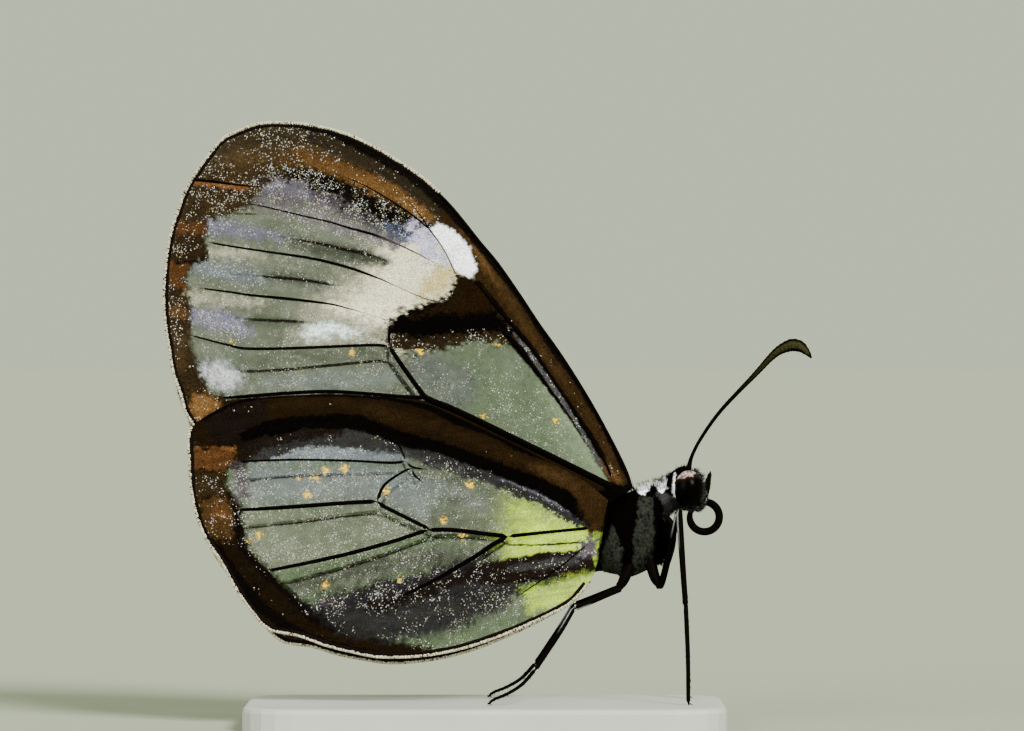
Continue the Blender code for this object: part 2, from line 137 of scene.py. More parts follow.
class ClearwingSettings(bpy.types.PropertyGroup):
    """Sizes and colours that the builders read."""

    membrane_thickness: bpy.props.FloatProperty(
        name="Membrane thickness", description="Thickness of the clear wing", default=0.00004,
        unit="LENGTH")
    vein_width: bpy.props.FloatProperty(
        name="Vein width", description="Scale of every vein's width", default=1.0)
    membrane_cover: bpy.props.FloatProperty(
        name="Membrane cover", description="How much of what lies behind a bare wing it hides",
        default=0.6, min=0.0, max=1.0)
    fringe_length: bpy.props.FloatProperty(
        name="Fringe length", description="Length of a fringe scale", default=0.00017,
        unit="LENGTH")
    hair_length: bpy.props.FloatProperty(
        name="Hair length", description="Length of the body's hair", default=0.0002,
        unit="LENGTH")
    membrane: colour_setting("Membrane", "Bare membrane", (0.042, 0.067, 0.028))
    sage: colour_setting("Sage", "Thinly scaled membrane", (0.064, 0.075, 0.047))
    mist: colour_setting("Mist", "Bluish clear streaks", (0.13, 0.15, 0.165))
    milk: colour_setting("Milk", "Bluish white cloud", (0.54, 0.64, 0.62))
    cream: colour_setting("Cream", "Cream cloud by the cell", (0.63, 0.59, 0.42))
    sand: colour_setting("Sand", "Sandy end of the cream cloud", (0.46, 0.37, 0.15))
    pale: colour_setting("Pale", "Yellowish clear base of the hindwing", (0.37, 0.50, 0.04))
    white: colour_setting("White", "White scales", (0.93, 0.93, 0.98))
    lilac: colour_setting("Lilac", "Lilac-white scales", (0.38, 0.36, 0.5))
    violet: colour_setting("Violet", "Violet-grey scales", (0.083, 0.069, 0.08))
    blue: colour_setting("Blue", "Blue scales", (0.065, 0.075, 0.125))
    brown: colour_setting("Brown", "Brown scales of apex and border", (0.030, 0.018, 0.0075))
    bronze: colour_setting("Bronze", "Bronze scales by the apex", (0.071, 0.035, 0.011))
    rust: colour_setting("Rust", "Rust scales at the margin", (0.06, 0.025, 0.008))
    umber: colour_setting("Umber", "Dark brown of the leading bands", (0.019, 0.010, 0.0032))
    moss: colour_setting("Moss", "Grey-green scales of the thorax", (0.0125, 0.0138, 0.0102))
    olive: colour_setting("Olive", "Scales of the feelers' clubs", (0.022, 0.021, 0.008))
    black: colour_setting("Black", "Black scales", (0.0022, 0.0014, 0.001))
    smoke: colour_setting("Smoke", "Smoky grey scales", (0.024, 0.023, 0.023))
    fringe: colour_setting("Fringe", "Pale fringe scales", (0.5, 0.46, 0.32))
    # Painted reflection of the sky on the top of the eye.
    eye_sky_reflection: colour_setting("Eye sky reflection", "Pale top of the eye", (0.3, 0.21, 0.2))
    floor: colour_setting("Floor", "Pale floor", (0.3125, 0.342, 0.2555))
    backdrop: colour_setting("Backdrop", "Light round the stage", (0.67, 0.74, 0.53))
    lens: bpy.props.FloatProperty(
        name="Lens", description="Focal length of the camera in millimetres", default=200.0)
    lamp_strength: bpy.props.FloatProperty(
        name="Lamp strength", description="Scale of both lamps", default=1.0)


def settings():
    """The scene's own settings."""
    return bpy.context.scene.clearwing


def shade(name, gain=1.0):
    """A named colour of the settings times a gain."""
    return np.minimum(np.array(getattr(settings(), name)) * gain, 0.97)


def from_chart(points):
    """Chart points to along and up in millimetres."""
    p = np.asarray(points, float)
    return np.stack([(p[..., 0] - CHART_X) * CHART_STEP,
                     (CHART_Y - p[..., 1]) * CHART_STEP + SOLE], axis=-1)


def to_chart(along, up):
    """Along and up in millimetres to chart points."""
    return np.stack([along / CHART_STEP + CHART_X, CHART_Y - (up - SOLE) / CHART_STEP], axis=-1)


def even_curve(rows, count):
    """A Catmull-Rom curve through rows, read at count points an equal way apart."""
    rows = np.asarray(rows, float)
    padded = np.vstack([2 * rows[0] - rows[1], rows, 2 * rows[-1] - rows[-2]])
    t = np.linspace(0, len(rows) - 1, 40 * len(rows))
    i = np.minimum(t.astype(int), len(rows) - 2)
    f = (t - i)[:, None]
    a, b, c, d = (padded[i + k] for k in range(4))
    fine = 0.5 * (2 * b + (c - a) * f + (2 * a - 5 * b + 4 * c - d) * f**2
                  + (3 * b - a - 3 * c + d) * f**3)
    way = np.concatenate([[0], np.cumsum(np.linalg.norm(np.diff(fine, axis=0), axis=1))])
    at = np.linspace(0, way[-1], count)
    return np.stack([np.interp(at, way, fine[:, k]) for k in range(fine.shape[1])], axis=1)


def segment_distance(points, line, radii=None):
    """Each point's distance to a polyline, less the radius there where radii are given."""
    a, b = line[:-1], line[1:]
    span = b - a
    length = np.maximum((span**2).sum(1), 1e-9)
    best = np.full(len(points), 1e9)
    for k in range(len(a)):
        t = np.clip(((points - a[k]) @ span[k]) / length[k], 0, 1)
        gap = np.linalg.norm(points - a[k] - t[:, None] * span[k], axis=1)
        if radii is not None:
            gap = gap - (radii[k] + (radii[k + 1] - radii[k]) * t)
        best = np.minimum(best, gap)
    return best


def inside_distance(points, outline):
    """Distance to a closed outline, positive inside it."""
    ring = np.vstack([outline, outline[:1]])
    far = segment_distance(points, ring)
    odd = np.zeros(len(points), bool)
    for (x0, y0), (x1, y1) in zip(ring[:-1], ring[1:]):
        if y0 != y1:
            crossing = (y0 > points[:, 1]) != (y1 > points[:, 1])
            odd ^= crossing & (points[:, 0] < x0 + (points[:, 1] - y0) * (x1 - x0) / (y1 - y0))
    return np.where(odd, far, -far)


def ripple(points, size, seed):
    """Smooth random values from -1 to 1, about size apart: a table read between its corners."""
    table = np.random.default_rng(seed).uniform(-1, 1, (256, 256))
    p = points / size
    cell = np.floor(p).astype(int)
    f = p - cell
    f = f * f * (3 - 2 * f)
    i, j = (cell[:, 0] % 256), (cell[:, 1] % 256)
    i2, j2 = (i + 1) % 256, (j + 1) % 256
    low = table[i, j] * (1 - f[:, 0]) + table[i2, j] * f[:, 0]
    high = table[i, j2] * (1 - f[:, 0]) + table[i2, j2] * f[:, 0]
    return low * (1 - f[:, 1]) + high * f[:, 1]


def coat_mask(points, shape, soft, rough, seed):
    """How far points lie in a coat, 0 to 1: a smooth step of the distance into it.

    Rows of x, y are an outline, and rows of x, y, half width a stroke. Ripples shake the edge.
    """
    shape = np.asarray(shape, float)
    if shape.shape[1] == 2:
        into = inside_distance(points, shape)
    else:
        line = even_curve(shape, 6 * len(shape))
        into = -segment_distance(points, line[:, :2], line[:, 2])
    into = into + rough * (0.6 * ripple(points, 3.1, seed) + 0.5 * ripple(points, 1.6, seed + 1)
                           + 0.3 * ripple(points, 7.0, seed + 2))
    mask = np.clip(into / soft + 0.5, 0, 1)
    return mask * mask * (3 - 2 * mask)


def new_piece(name, points, faces, looks, smooth=True):
    """A mesh object from arrays; faces is an array of quads or triangles, or a list of both."""
    mesh = bpy.data.meshes.new(name)
    blocks = [faces] if isinstance(faces, np.ndarray) else faces
    corners = np.concatenate([f.ravel() for f in blocks]).astype(np.int32)
    sizes = np.concatenate([np.full(len(f), f.shape[1]) for f in blocks])
    starts = np.concatenate([[0], np.cumsum(sizes)[:-1]]).astype(np.int32)
    mesh.vertices.add(len(points))
    mesh.vertices.foreach_set("co", np.asarray(points, np.float32).ravel() * MM)
    mesh.loops.add(len(corners))
    mesh.loops.foreach_set("vertex_index", corners)
    mesh.polygons.add(len(sizes))
    mesh.polygons.foreach_set("loop_start", starts)
    mesh.update(calc_edges=True)
    mesh.validate()
    if smooth:
        mesh.shade_smooth()
    mesh.materials.append(looks)
    piece = bpy.data.objects.new(name, mesh)
    bpy.context.scene.collection.objects.link(piece)
    return piece


def set_colours(piece, tint, cover=1.0):
    """Stores a colour and a cover for each vertex."""
    tint = np.asarray(tint).reshape(-1, 3)
    layer = piece.data.attributes.new("scales", "FLOAT_COLOR", "POINT")
    rows = np.column_stack([tint, np.broadcast_to(cover, len(tint))])
    layer.data.foreach_set("color", rows.astype(np.float32).ravel())


def set_values(piece, values, name):
    """Stores a number for each vertex."""
    layer = piece.data.attributes.new(name, "FLOAT", "POINT")
    layer.data.foreach_set("value", np.asarray(values, np.float32).ravel())


def ring_faces(rings, sides, start=0):
    """Quads of a closed-section sweep, and one fan of triangles over each end's first corner."""
    i = np.arange(rings - 1)[:, None] * sides
    j = np.arange(sides)[None, :]
    k = (j + 1) % sides
    quads = np.stack([i + j, i + k, i + sides + k, i + sides + j], axis=-1).reshape(-1, 4)
    m = np.arange(1, sides - 1)
    last = (rings - 1) * sides
    first_cap = np.stack([np.zeros_like(m), m + 1, m], axis=-1)
    last_cap = np.stack([np.full_like(m, last), last + m, last + m + 1], axis=-1)
    return quads + start, np.vstack([first_cap, last_cap]) + start


def tube(centre, radius, sides, flat=1.0, side_axis=(0, 1, 0)):
    """Rings of centre + r (flat cos a across + sin a up), carried along the path."""
    centre = np.asarray(centre, float)
    along = np.gradient(centre, axis=0)
    along /= np.maximum(np.linalg.norm(along, axis=1), 1e-9)[:, None]
    axis = np.asarray(side_axis, float)
    across = axis - along * (along @ axis)[:, None]
    across /= np.maximum(np.linalg.norm(across, axis=1), 1e-9)[:, None]
    up = np.cross(along, across)
    turn = np.linspace(0, math.tau, sides, endpoint=False)
    r = np.asarray(radius, float)[:, None, None]
    return centre[:, None] + r * (flat * np.cos(turn)[None, :, None] * across[:, None]
                                  + np.sin(turn)[None, :, None] * up[:, None])


def join_sweeps(sweeps):
    """Points and faces of several sweeps as one mesh. Each is an array of rings, sides, 3."""
    points, quads, caps = [], [], []
    start = 0
    for rings in sweeps:
        q, c = ring_faces(rings.shape[0], rings.shape[1], start)
        points.append(rings.reshape(-1, 3))
        quads.append(q)
        caps.append(c)
        start += rings.shape[0] * rings.shape[1]
    return np.vstack(points), [np.vstack(quads), np.vstack(caps)]


# Materials

def blank_material(name, roughness, shine):
    """A new material with its nodes, links and Principled shader."""
    made = bpy.data.materials.new(name)
    made.use_nodes = True
    nodes = made.node_tree.nodes
    shader = nodes["Principled BSDF"]
    shader.inputs["Roughness"].default_value = roughness
    shader.inputs["Specular IOR Level"].default_value = shine
    return made, nodes, made.node_tree.links, shader


def add_node(nodes, kind, **values):
    """A new shader node with constants on its inputs, an underline standing for a space."""
    node = nodes.new("ShaderNode" + kind)
    for name, value in values.items():
        node.inputs[name.replace("_", " ")].default_value = value
    return node


def vertex_value(nodes, name):
    """The node that reads an attribute of the vertices."""
    node = nodes.new("ShaderNodeAttribute")
    node.attribute_name = name
    return node


def grain_bump(nodes, links, shader, scale, strength, distance):
    """Fine bump from noise on Object coordinates."""
    coords = nodes.new("ShaderNodeTexCoord").outputs["Object"]
    noise = add_node(nodes, "TexNoise", Scale=scale, Detail=4)
    bump = add_node(nodes, "Bump", Strength=strength, Distance=distance)
    links.new(coords, noise.inputs["Vector"])
    links.new(noise.outputs["Fac"], bump.inputs["Height"])
    links.new(bump.outputs["Normal"], shader.inputs["Normal"])
    return coords, noise.outputs["Fac"]


def spread(nodes, links, factor, low, high):
    """A noise factor stretched so that it runs about from low to high."""
    span = add_node(nodes, "MapRange", From_Min=0.3, From_Max=0.7, To_Min=low, To_Max=high)
    links.new(factor, span.inputs["Value"])
    return span.outputs["Result"]


def scaled_colour(nodes, links, colour, factor):
    """A colour times a value."""
    scale = nodes.new("ShaderNodeVectorMath")
    scale.operation = "SCALE"
    links.new(colour, scale.inputs[0])
    links.new(factor, scale.inputs["Scale"])
    return scale.outputs[0]


def calculate(nodes, links, operation, first, second):
    """One Math node of two inputs, each a socket or a number."""
    node = nodes.new("ShaderNodeMath")
    node.operation = operation
    for k, value in enumerate((first, second)):
        if isinstance(value, float):
            node.inputs[k].default_value = value
        else:
            links.new(value, node.inputs[k])
    return node.outputs["Value"]


def blend(nodes, links, factor, first, second):
    """One colour Mix node of two inputs, each a socket or a colour."""
    node = nodes.new("ShaderNodeMix")
    node.data_type = "RGBA"
    links.new(factor, node.inputs["Factor"])
    for name, value in (("A", first), ("B", second)):
        if isinstance(value, tuple):
            node.inputs[name].default_value = value
        else:
            links.new(value, node.inputs[name])
    return node.outputs["Result"]


def flecks(nodes, links, coords, density, turn, scale, stretch, size):
    """Loose scales as short dashes: cells of a stretched Voronoi pattern, kept by their colour."""
    place = nodes.new("ShaderNodeMapping")
    place.vector_type = "TEXTURE"
    place.inputs["Rotation"].default_value = (0, turn, 0)
    place.inputs["Scale"].default_value = (1 / scale, 1 / scale, 1 / (scale * stretch))
    cells = add_node(nodes, "TexVoronoi", Scale=1.0)
    links.new(coords, place.inputs["Vector"])
    links.new(place.outputs["Vector"], cells.inputs["Vector"])
    dot = add_node(nodes, "MapRange", From_Min=size, From_Max=size * 0.25)
    links.new(cells.outputs["Distance"], dot.inputs["Value"])
    chance = nodes.new("ShaderNodeSeparateColor")
    links.new(cells.outputs["Color"], chance.inputs["Color"])
    keep = calculate(nodes, links, "LESS_THAN", chance.outputs["Red"], density)
    return calculate(nodes, links, "MULTIPLY", dot.outputs["Result"], keep), chance.outputs


def scaled_wing_material():
    """Membrane and scales: painted colour and cover, grain, and pale flecks of loose scales."""
    made, nodes, links, shader = blank_material("scaled_membrane", 0.55, 0.008)
    paint = vertex_value(nodes, "scales")
    dust = vertex_value(nodes, "dust")
    coords, noise = grain_bump(nodes, links, shader, 15000, 0.4, 0.00002)
    colour = scaled_colour(nodes, links, paint.outputs["Color"],
                           spread(nodes, links, noise, 0.55, 1.5))
    cover = calculate(nodes, links, "MULTIPLY", paint.outputs["Alpha"],
                      spread(nodes, links, noise, 0.78, 1.2))
    density = calculate(nodes, links, "SUBTRACT", dust.outputs["Fac"], 0.12)
    for turn, scale, stretch, size, share in FLECK_LAYERS:
        amount = calculate(nodes, links, "MULTIPLY", density, share)
        mask, chance = flecks(nodes, links, coords, amount, turn, scale, stretch, size)
        yellow = calculate(nodes, links, "GREATER_THAN", chance["Green"], 1 - YELLOW_SHARE)
        fleck = blend(nodes, links, yellow, WHITE_FLECK, YELLOW_FLECK)
        mask = calculate(nodes, links, "MULTIPLY", mask,
                         calculate(nodes, links, "POWER", chance["Blue"], 1.2))
        colour = blend(nodes, links, mask, colour, fleck)
        cover = calculate(nodes, links, "MAXIMUM", cover, mask)
    links.new(colour, shader.inputs["Base Color"])
    links.new(cover, shader.inputs["Alpha"])
    return made


def painted_material(name, roughness, scale, low, high, bump, shine=0.015):
    """Painted vertex colours with grain on Object coordinates."""
    made, nodes, links, shader = blank_material(name, roughness, shine)
    paint = vertex_value(nodes, "scales")
    _, noise = grain_bump(nodes, links, shader, scale, bump, 0.00002)
    links.new(scaled_colour(nodes, links, paint.outputs["Color"],
                            spread(nodes, links, noise, low, high)),
              shader.inputs["Base Color"])
    return made


def mottled_material(name, low, high, scale, broad_scale, roughness):
    """Matt paint between two close tones, with a fine grain in bump and roughness."""
    made, nodes, links, shader = blank_material(name, roughness, 0.2)
    coords, noise = grain_bump(nodes, links, shader, scale, 0.12, 0.00003)
    broad = add_node(nodes, "TexNoise", Scale=broad_scale)
    links.new(coords, broad.inputs["Vector"])
    links.new(blend(nodes, links, broad.outputs["Fac"], (*low, 1), (*high, 1)),
              shader.inputs["Base Color"])
    links.new(spread(nodes, links, noise, roughness - 0.08, roughness + 0.08),
              shader.inputs["Roughness"])
    return made


# Coats of scales, from the first laid to the last: colour, gain, cover, dust, softness and
# roughness of the edge, then rows of an outline (x, y) or of a stroke (x, y, half width).
COATS = {
    "fore": [
        ("membrane", 2.4, 0.42, 0.2, 40, 6, [(556, 384, 12), (585, 448, 14), (600, 474, 10)]),
        ("mist", 0.24, 0.58, 0.4, 34, 6, [(428, 372, 16), (455, 388, 16)]),
        ("sage", 0.9, 0.58, 0.5, 9, 4,
         [(389, 322), (389, 346), (425, 398), (300, 402), (205, 402), (176, 330), (174, 240),
          (240, 196), (300, 190), (385, 230), (458, 283), (430, 303)]),
        ("cream", 0.4, 0.66, 0.7, 36, 12,
         [(396, 228), (372, 244), (356, 264), (336, 284), (312, 300), (292, 330), (296, 352),
          (392, 352), (420, 300)]),
        ("cream", 1.0, 0.94, 0.35, 34, 12,
         [(480, 250), (400, 226), (388, 240), (380, 262), (362, 284), (342, 302), (352, 314),
          (374, 330), (396, 352), (430, 330)]),
        ("sand", 1.0, 0.96, 0.2, 22, 8, [(424, 293, 2), (440, 281, 5), (452, 270, 4)]),
        ("cream", 0.4, 0.85, 0.4, 12, 6, [(352, 339, 4), (386, 335, 8)]),
        ("milk", 1.25, 0.95, 0.9, 14, 10,
         [(308, 333, 3), (322, 330, 6), (338, 330, 6), (352, 333, 4), (362, 337, 1)]),
        ("cream", 1.1, 0.96, 0.3, 9, 7, [(330, 306, 2), (360, 312, 5), (384, 320, 3)]),
        ("sage", 0.85, 0.6, 0.55, 3, 1,
         [(176, 332), (208, 340), (228, 345), (245, 348.5), (280, 348.5), (320, 347), (370, 345),
          (389, 346), (425, 398), (205, 402), (180, 380)]),
        ("sage", 0.55, 0.6, 0.4, 10, 5,
         [(262, 360, 4), (320, 356, 4), (386, 356, 5), (410, 388, 4)]),
        ("milk", 0.17, 0.62, 0.6, 14, 6, [(262, 384, 6), (340, 380, 8), (390, 378, 6)]),
        ("lilac", 0.27, 0.85, 0.9, 9, 7,
         [(180, 224, 7), (225, 228, 8), (262, 234, 5), (300, 241, 2)]),
        ("cream", 0.5, 0.7, 0.8, 10, 7, [(186, 250, 5), (225, 252, 5), (262, 256, 3)]),
        ("mist", 0.82, 0.8, 0.9, 10, 7,
         [(178, 264, 5), (225, 271, 8), (252, 277, 6), (268, 281, 3)]),
        ("cream", 0.42, 0.68, 0.8, 10, 7, [(186, 296, 5), (225, 300, 5), (262, 302, 3)]),
        ("lilac", 0.36, 0.88, 0.9, 10, 7,
         [(184, 314, 7), (215, 320, 10), (236, 326, 10), (248, 330, 4)]),
        ("milk", 0.3, 0.8, 1.0, 16, 10, [(200, 368, 4), (216, 372, 12), (232, 378, 10)]),
        ("white", 0.4, 0.95, 1.0, 12, 10, [(208, 371, 5), (220, 376, 11), (230, 382, 8)]),
        ("sage", 0.4, 0.72, 0.3, 12, 4,
         [(292, 242, 3), (325, 250, 7), (354, 255, 6), (384, 261, 2)]),
        ("sage", 0.5, 0.7, 0.3, 12, 6, [(272, 276, 4), (300, 281, 7), (322, 286, 3)]),
        ("sage", 0.7, 0.66, 0.3, 9, 4, [(252, 320, 4), (275, 322, 6), (298, 324, 3)]),
        ("violet", 1.4, 0.75, 0.8, 14, 7, [(262, 204, 5), (330, 222, 6), (392, 241, 4)]),
        ("violet", 0.95, 0.94, 0.9, 12, 9,
         [(232, 204), (240, 186), (262, 170), (300, 168), (340, 184), (380, 200), (408, 212),
          (416, 236), (400, 240), (375, 228), (345, 216), (300, 203), (262, 199)]),
        ("lilac", 0.2, 0.94, 0.9, 12, 9, [(262, 190, 1), (285, 188, 3), (312, 194, 1)]),
        ("violet", 0.5, 0.96, 1.0, 8, 7, [(312, 188, 4), (345, 206, 5), (378, 220, 5)]),
        ("blue", 0.7, 0.95, 0.7, 12, 8, [(380, 224, 2), (396, 230, 5), (406, 235, 5)]),
        ("brown", 0.4, 0.99, 0.75, 8, 8, [(236, 176, 6), (262, 170, 8), (292, 170, 7)]),
        ("black", 1.2, 0.99, 0.9, 7, 8,
         [(288, 160), (330, 168), (370, 186), (410, 204), (440, 226), (424, 236), (404, 227),
          (384, 222), (363, 211), (334, 195), (300, 181), (286, 178)]),
        ("brown", 0.8, 0.99, 0.45, 7, 6,
         [(150, 150), (195, 120), (260, 100), (330, 100), (420, 150), (490, 232), (474, 264),
          (455, 238), (436, 224), (405, 202), (370, 182), (330, 168), (285, 168), (256, 176),
          (240, 188), (234, 206), (205, 214), (160, 214)]),
        ("brown", 1.0, 0.99, 0.5, 16, 8,
         [(206, 168, 1), (232, 152, 8), (262, 150, 8), (290, 150, 5)]),
        ("brown", 0.6, 0.99, 0.45, 18, 9, [(226, 144, 3), (270, 136, 5), (310, 142, 3)]),
        ("brown", 0.75, 0.99, 0.4, 14, 9, [(200, 172, 1), (220, 166, 5), (236, 162, 2)]),
        ("brown", 1.6, 0.99, 0.4, 18, 9, [(230, 158, 1), (246, 160, 4), (262, 156, 1)]),
        ("bronze", 0.7, 0.99, 0.4, 9, 7,
         [(284, 160, 4), (302, 156, 8), (325, 162, 8), (350, 172, 6)]),
        ("bronze", 1.1, 0.99, 0.3, 8, 6,
         [(300, 156, 2), (330, 168, 6), (352, 174, 8), (376, 185, 9), (402, 196, 9),
          (430, 214, 7)]),
        ("bronze", 1.1, 0.99, 0.42, 8, 7,
         [(330, 168, 1), (360, 179, 2), (396, 194, 4), (420, 210, 4)]),
        ("bronze", 1.7, 0.99, 0.42, 8, 7, [(398, 201, 1), (410, 207, 4), (422, 217, 3)]),
        ("brown", 0.4, 0.99, 0.2, 8, 4,
         [(312, 136, 4), (350, 152, 8), (376, 164, 8), (402, 180, 6), (430, 203, 5),
          (452, 222, 4)]),
        ("black", 0.9, 1.0, 0.1, 3, 2,
         [(300, 127, 1.5), (330, 133, 2), (352, 143, 4), (376, 154, 5), (402, 169, 5.5),
          (427, 188, 5), (452, 213, 5), (479, 243, 4)]),
        ("brown", 0.55, 0.99, 0.4, 6, 6,
         [(150, 150), (190, 172), (246, 186), (240, 204), (222, 214), (205, 218), (203, 256),
          (190, 262), (184, 280), (184, 296), (190, 306), (190, 325), (186, 345), (194, 362),
          (202, 380), (212, 394), (236, 402), (250, 414), (200, 450), (150, 440)]),
        ("brown", 0.5, 0.99, 0.5, 7, 5,
         [(164, 236), (203, 240), (206, 258), (190, 262), (160, 258)]),
        ("brown", 0.7, 0.98, 0.6, 12, 9,
         [(222, 192), (262, 184), (252, 200), (234, 210), (205, 212), (196, 200)]),
        ("rust", 0.85, 0.99, 0.3, 6, 5, [(170, 219), (206, 222), (203, 234), (168, 232)]),
        ("rust", 0.85, 0.99, 0.18, 7, 6,
         [(160, 260), (190, 262), (184, 276), (185, 288), (160, 286)]),
        ("bronze", 0.7, 0.99, 0.4, 6, 6, [(160, 305), (184, 308), (187, 318), (160, 317)]),
        ("brown", 0.95, 0.99, 0.3, 10, 6, [(162, 322), (188, 334), (188, 368), (168, 368)]),
        ("rust", 1.5, 0.99, 0.2, 3, 3, [(192, 182, 2.4), (220, 185, 2.6), (248, 187, 2)]),
        ("black", 1.4, 0.99, 0.2, 4, 3, [(178, 262, 1.6), (196, 262, 1.4), (204, 258, 1)]),
        ("umber", 0.8, 1.0, 0.08, 2, 1,
         [(640, 480), (560, 320), (470, 205), (440, 190), (442, 222), (470, 264), (482, 300),
          (500, 332), (512, 345), (533.5, 370), (552.5, 395), (570.5, 420), (587.5, 445),
          (600, 465), (613, 489)]),
        ("umber", 1.4, 1.0, 0.1, 7, 4,
         [(460, 230, 3), (490, 272, 4), (515, 308, 4), (538, 345, 4), (556, 370, 3),
          (570, 390, 1)]),
        ("umber", 1.1, 1.0, 0.1, 7, 4,
         [(574, 395, 2), (591, 420, 2), (605, 445, 3), (614, 465, 3)]),
        ("bronze", 0.9, 1.0, 0.1, 5, 3, [(462, 226, 2), (478, 252, 2), (496, 284, 1.5)]),
        ("black", 0.8, 1.0, 0.0, 2.5, 1,
         [(440, 200, 3), (479, 245, 3), (519, 297, 2.2), (549.5, 345, 2), (568.5, 370, 2),
          (584.5, 395, 2), (600, 420, 2), (613, 445, 2), (622, 465, 2), (632, 484, 2.5)]),
        ("black", 0.6, 1.0, 0.0, 2.5, 1,
         [(484, 300, 3), (500, 327, 5), (516.5, 345, 4), (536, 370, 2.8), (554, 395, 1.8),
          (572, 420, 1.2), (585, 442, 0.6)]),
        # A grey stripe of scales inside the leading band, painted brighter as a glint.
        ("smoke", 1.9, 0.98, 0.5, 2, 2,
         [(498, 316, 0.6), (509, 330, 1.4), (523.5, 345, 2.2), (542, 370, 2.8), (559, 395, 2.9),
          (575, 420, 2.4), (590, 445, 2.4), (602, 465, 2.4), (608, 475, 1.4)]),
        ("black", 0.6, 1.0, 0.0, 2.5, 1,
         [(478, 284, 3), (498, 308, 2.5), (512, 325, 2.2), (529, 345, 2.2), (546.5, 370, 1.6),
          (563.5, 395, 1.5), (580, 420, 2), (595.5, 445, 2.4), (606.5, 465, 2.2), (612, 478, 2)]),
        ("brown", 0.5, 0.97, 0.5, 5, 8,
         [(388, 328), (430, 312), (480, 306), (512, 324), (514, 341), (492, 341), (469, 341),
          (450, 346), (431, 350), (412, 352), (388, 351)]),
        ("black", 0.45, 1.0, 0.05, 7, 6,
         [(389, 322), (400, 313), (410, 309), (430, 303), (446, 297), (453, 290), (457, 276),
          (470, 278), (500, 314), (508, 332), (470, 332), (440, 335), (410, 336), (391, 332)]),
        ("umber", 0.42, 1.0, 0.04, 8, 5,
         [(458, 279), (466, 276), (482, 288), (494, 308), (476, 314), (440, 314), (410, 318),
          (430, 308), (452, 298)]),
        ("rust", 0.13, 1.0, 0.03, 10, 5, [(462, 284, 3), (476, 294, 6), (482, 304, 5)]),
        ("lilac", 1.05, 0.96, 0.9, 8, 10,
         [(409, 228), (416, 223), (432, 233), (450, 264), (430, 258), (417, 246)]),
        ("white", 1.0, 1.0, 0.05, 3.5, 2.5,
         [(431, 229), (440, 224), (452, 229), (461, 238), (469, 249), (475, 261), (477, 269),
          (471, 277), (463, 275), (456, 270), (450, 259), (444, 249), (437, 238)]),
        ("umber", 0.5, 1.0, 0.05, 3, 2,
         [(222, 402), (250, 398), (330, 394), (410, 398), (440, 404), (500, 432), (560, 461),
          (612, 488), (612, 514), (520, 474), (430, 436), (340, 428), (255, 434), (210, 447)]),
        ("bronze", 1.75, 0.99, 0.6, 9, 7,
         [(194, 396), (206, 396), (222, 401), (216, 410), (204, 424), (188, 414)]),
        # Bronze scales at the forewing's base, with painted highlights.
        ("bronze", 0.8, 1.0, 0.4, 8, 3, [(604, 462, 2), (612, 474, 4), (617, 480, 4)]),
        ("black", 0.5, 1.0, 0.0, 4, 2,
         [(598, 494), (606, 488), (613, 483), (622, 487), (633, 476), (646, 486), (646, 520),
          (596, 520)]),
    ],
    "hind": [
        ("sage", 0.5, 0.56, 0.5, 30, 8,
         [(400, 466), (470, 480), (500, 500), (490, 532), (430, 528), (400, 500)]),
        ("pale", 0.6, 0.6, 0.4, 44, 8,
         [(506, 500), (540, 508), (590, 528), (596, 562), (510, 556), (500, 540)]),
        ("pale", 1.2, 0.82, 0.6, 42, 10,
         [(522, 506), (590, 530), (596, 562), (512, 556), (510, 545), (520, 534)]),
        ("pale", 1.15, 0.85, 0.4, 20, 5,
         [(514, 540), (560, 532), (590, 529), (586, 542), (560, 549), (520, 556)]),
        ("mist", 0.78, 0.6, 0.9, 18, 8,
         [(240, 466), (400, 466), (438, 492), (425, 520), (378, 500), (236, 504)]),
        ("mist", 0.55, 0.6, 0.8, 16, 8, [(420, 478, 4), (450, 490, 5), (480, 502, 2)]),
        ("sage", 1.15, 0.58, 0.9, 18, 8,
         [(236, 512), (378, 505), (425, 530), (300, 566), (260, 572), (240, 535)]),
        ("sage", 0.2, 0.65, 0.5, 16, 8,
         [(290, 590, 4), (340, 578, 8), (400, 563, 8), (450, 556, 6), (490, 556, 3)]),
        ("mist", 1.05, 0.82, 0.5, 6, 4,
         [(250, 462), (262, 450), (300, 440), (350, 440), (388, 444), (408, 461), (330, 461)]),
        ("smoke", 1.1, 0.9, 0.3, 14, 5,
         [(258, 450, 2), (300, 442, 2), (350, 443, 2), (392, 449, 2)]),
        ("smoke", 0.72, 0.97, 0.25, 3.5, 4,
         [(226, 462), (236, 425), (280, 422), (350, 420), (400, 436), (430, 444), (490, 464),
          (550, 490), (592, 512), (592, 531), (580, 527), (550, 510), (520, 497), (490, 484),
          (460, 475), (430, 465), (400, 452), (385, 450), (350, 446), (310, 445), (280, 453),
          (262, 460)]),
        ("smoke", 1.25, 0.97, 0.35, 5, 3, [(402, 452, 1.5), (430, 462, 2), (460, 472, 2.5)]),
        ("black", 3.0, 0.98, 0.15, 6, 4,
         [(236, 462, 8), (250, 448, 8), (266, 440, 7), (285, 436, 6), (310, 432, 5.5),
          (338, 430, 4)]),
        ("lilac", 0.24, 0.98, 0.2, 2.5, 2,
         [(496, 477, 0.2), (520, 486, 0.8), (550, 500, 1), (572, 513, 1), (588, 525, 0.6)]),
        ("umber", 0.36, 1.0, 0.06, 4, 2,
         [(170, 448), (205, 444), (232, 450), (244, 440), (262, 430), (300, 424), (350, 424),
          (385, 432), (400, 440), (430, 448), (460, 458), (490, 468), (520, 480), (550, 492),
          (580, 510), (600, 522), (625, 480), (560, 440), (430, 375), (300, 370), (190, 390)]),
        ("umber", 0.55, 1.0, 0.08, 8, 3,
         [(262, 405, 3), (310, 402, 5), (350, 403, 5), (400, 418, 6), (430, 424, 6), (460, 433, 4),
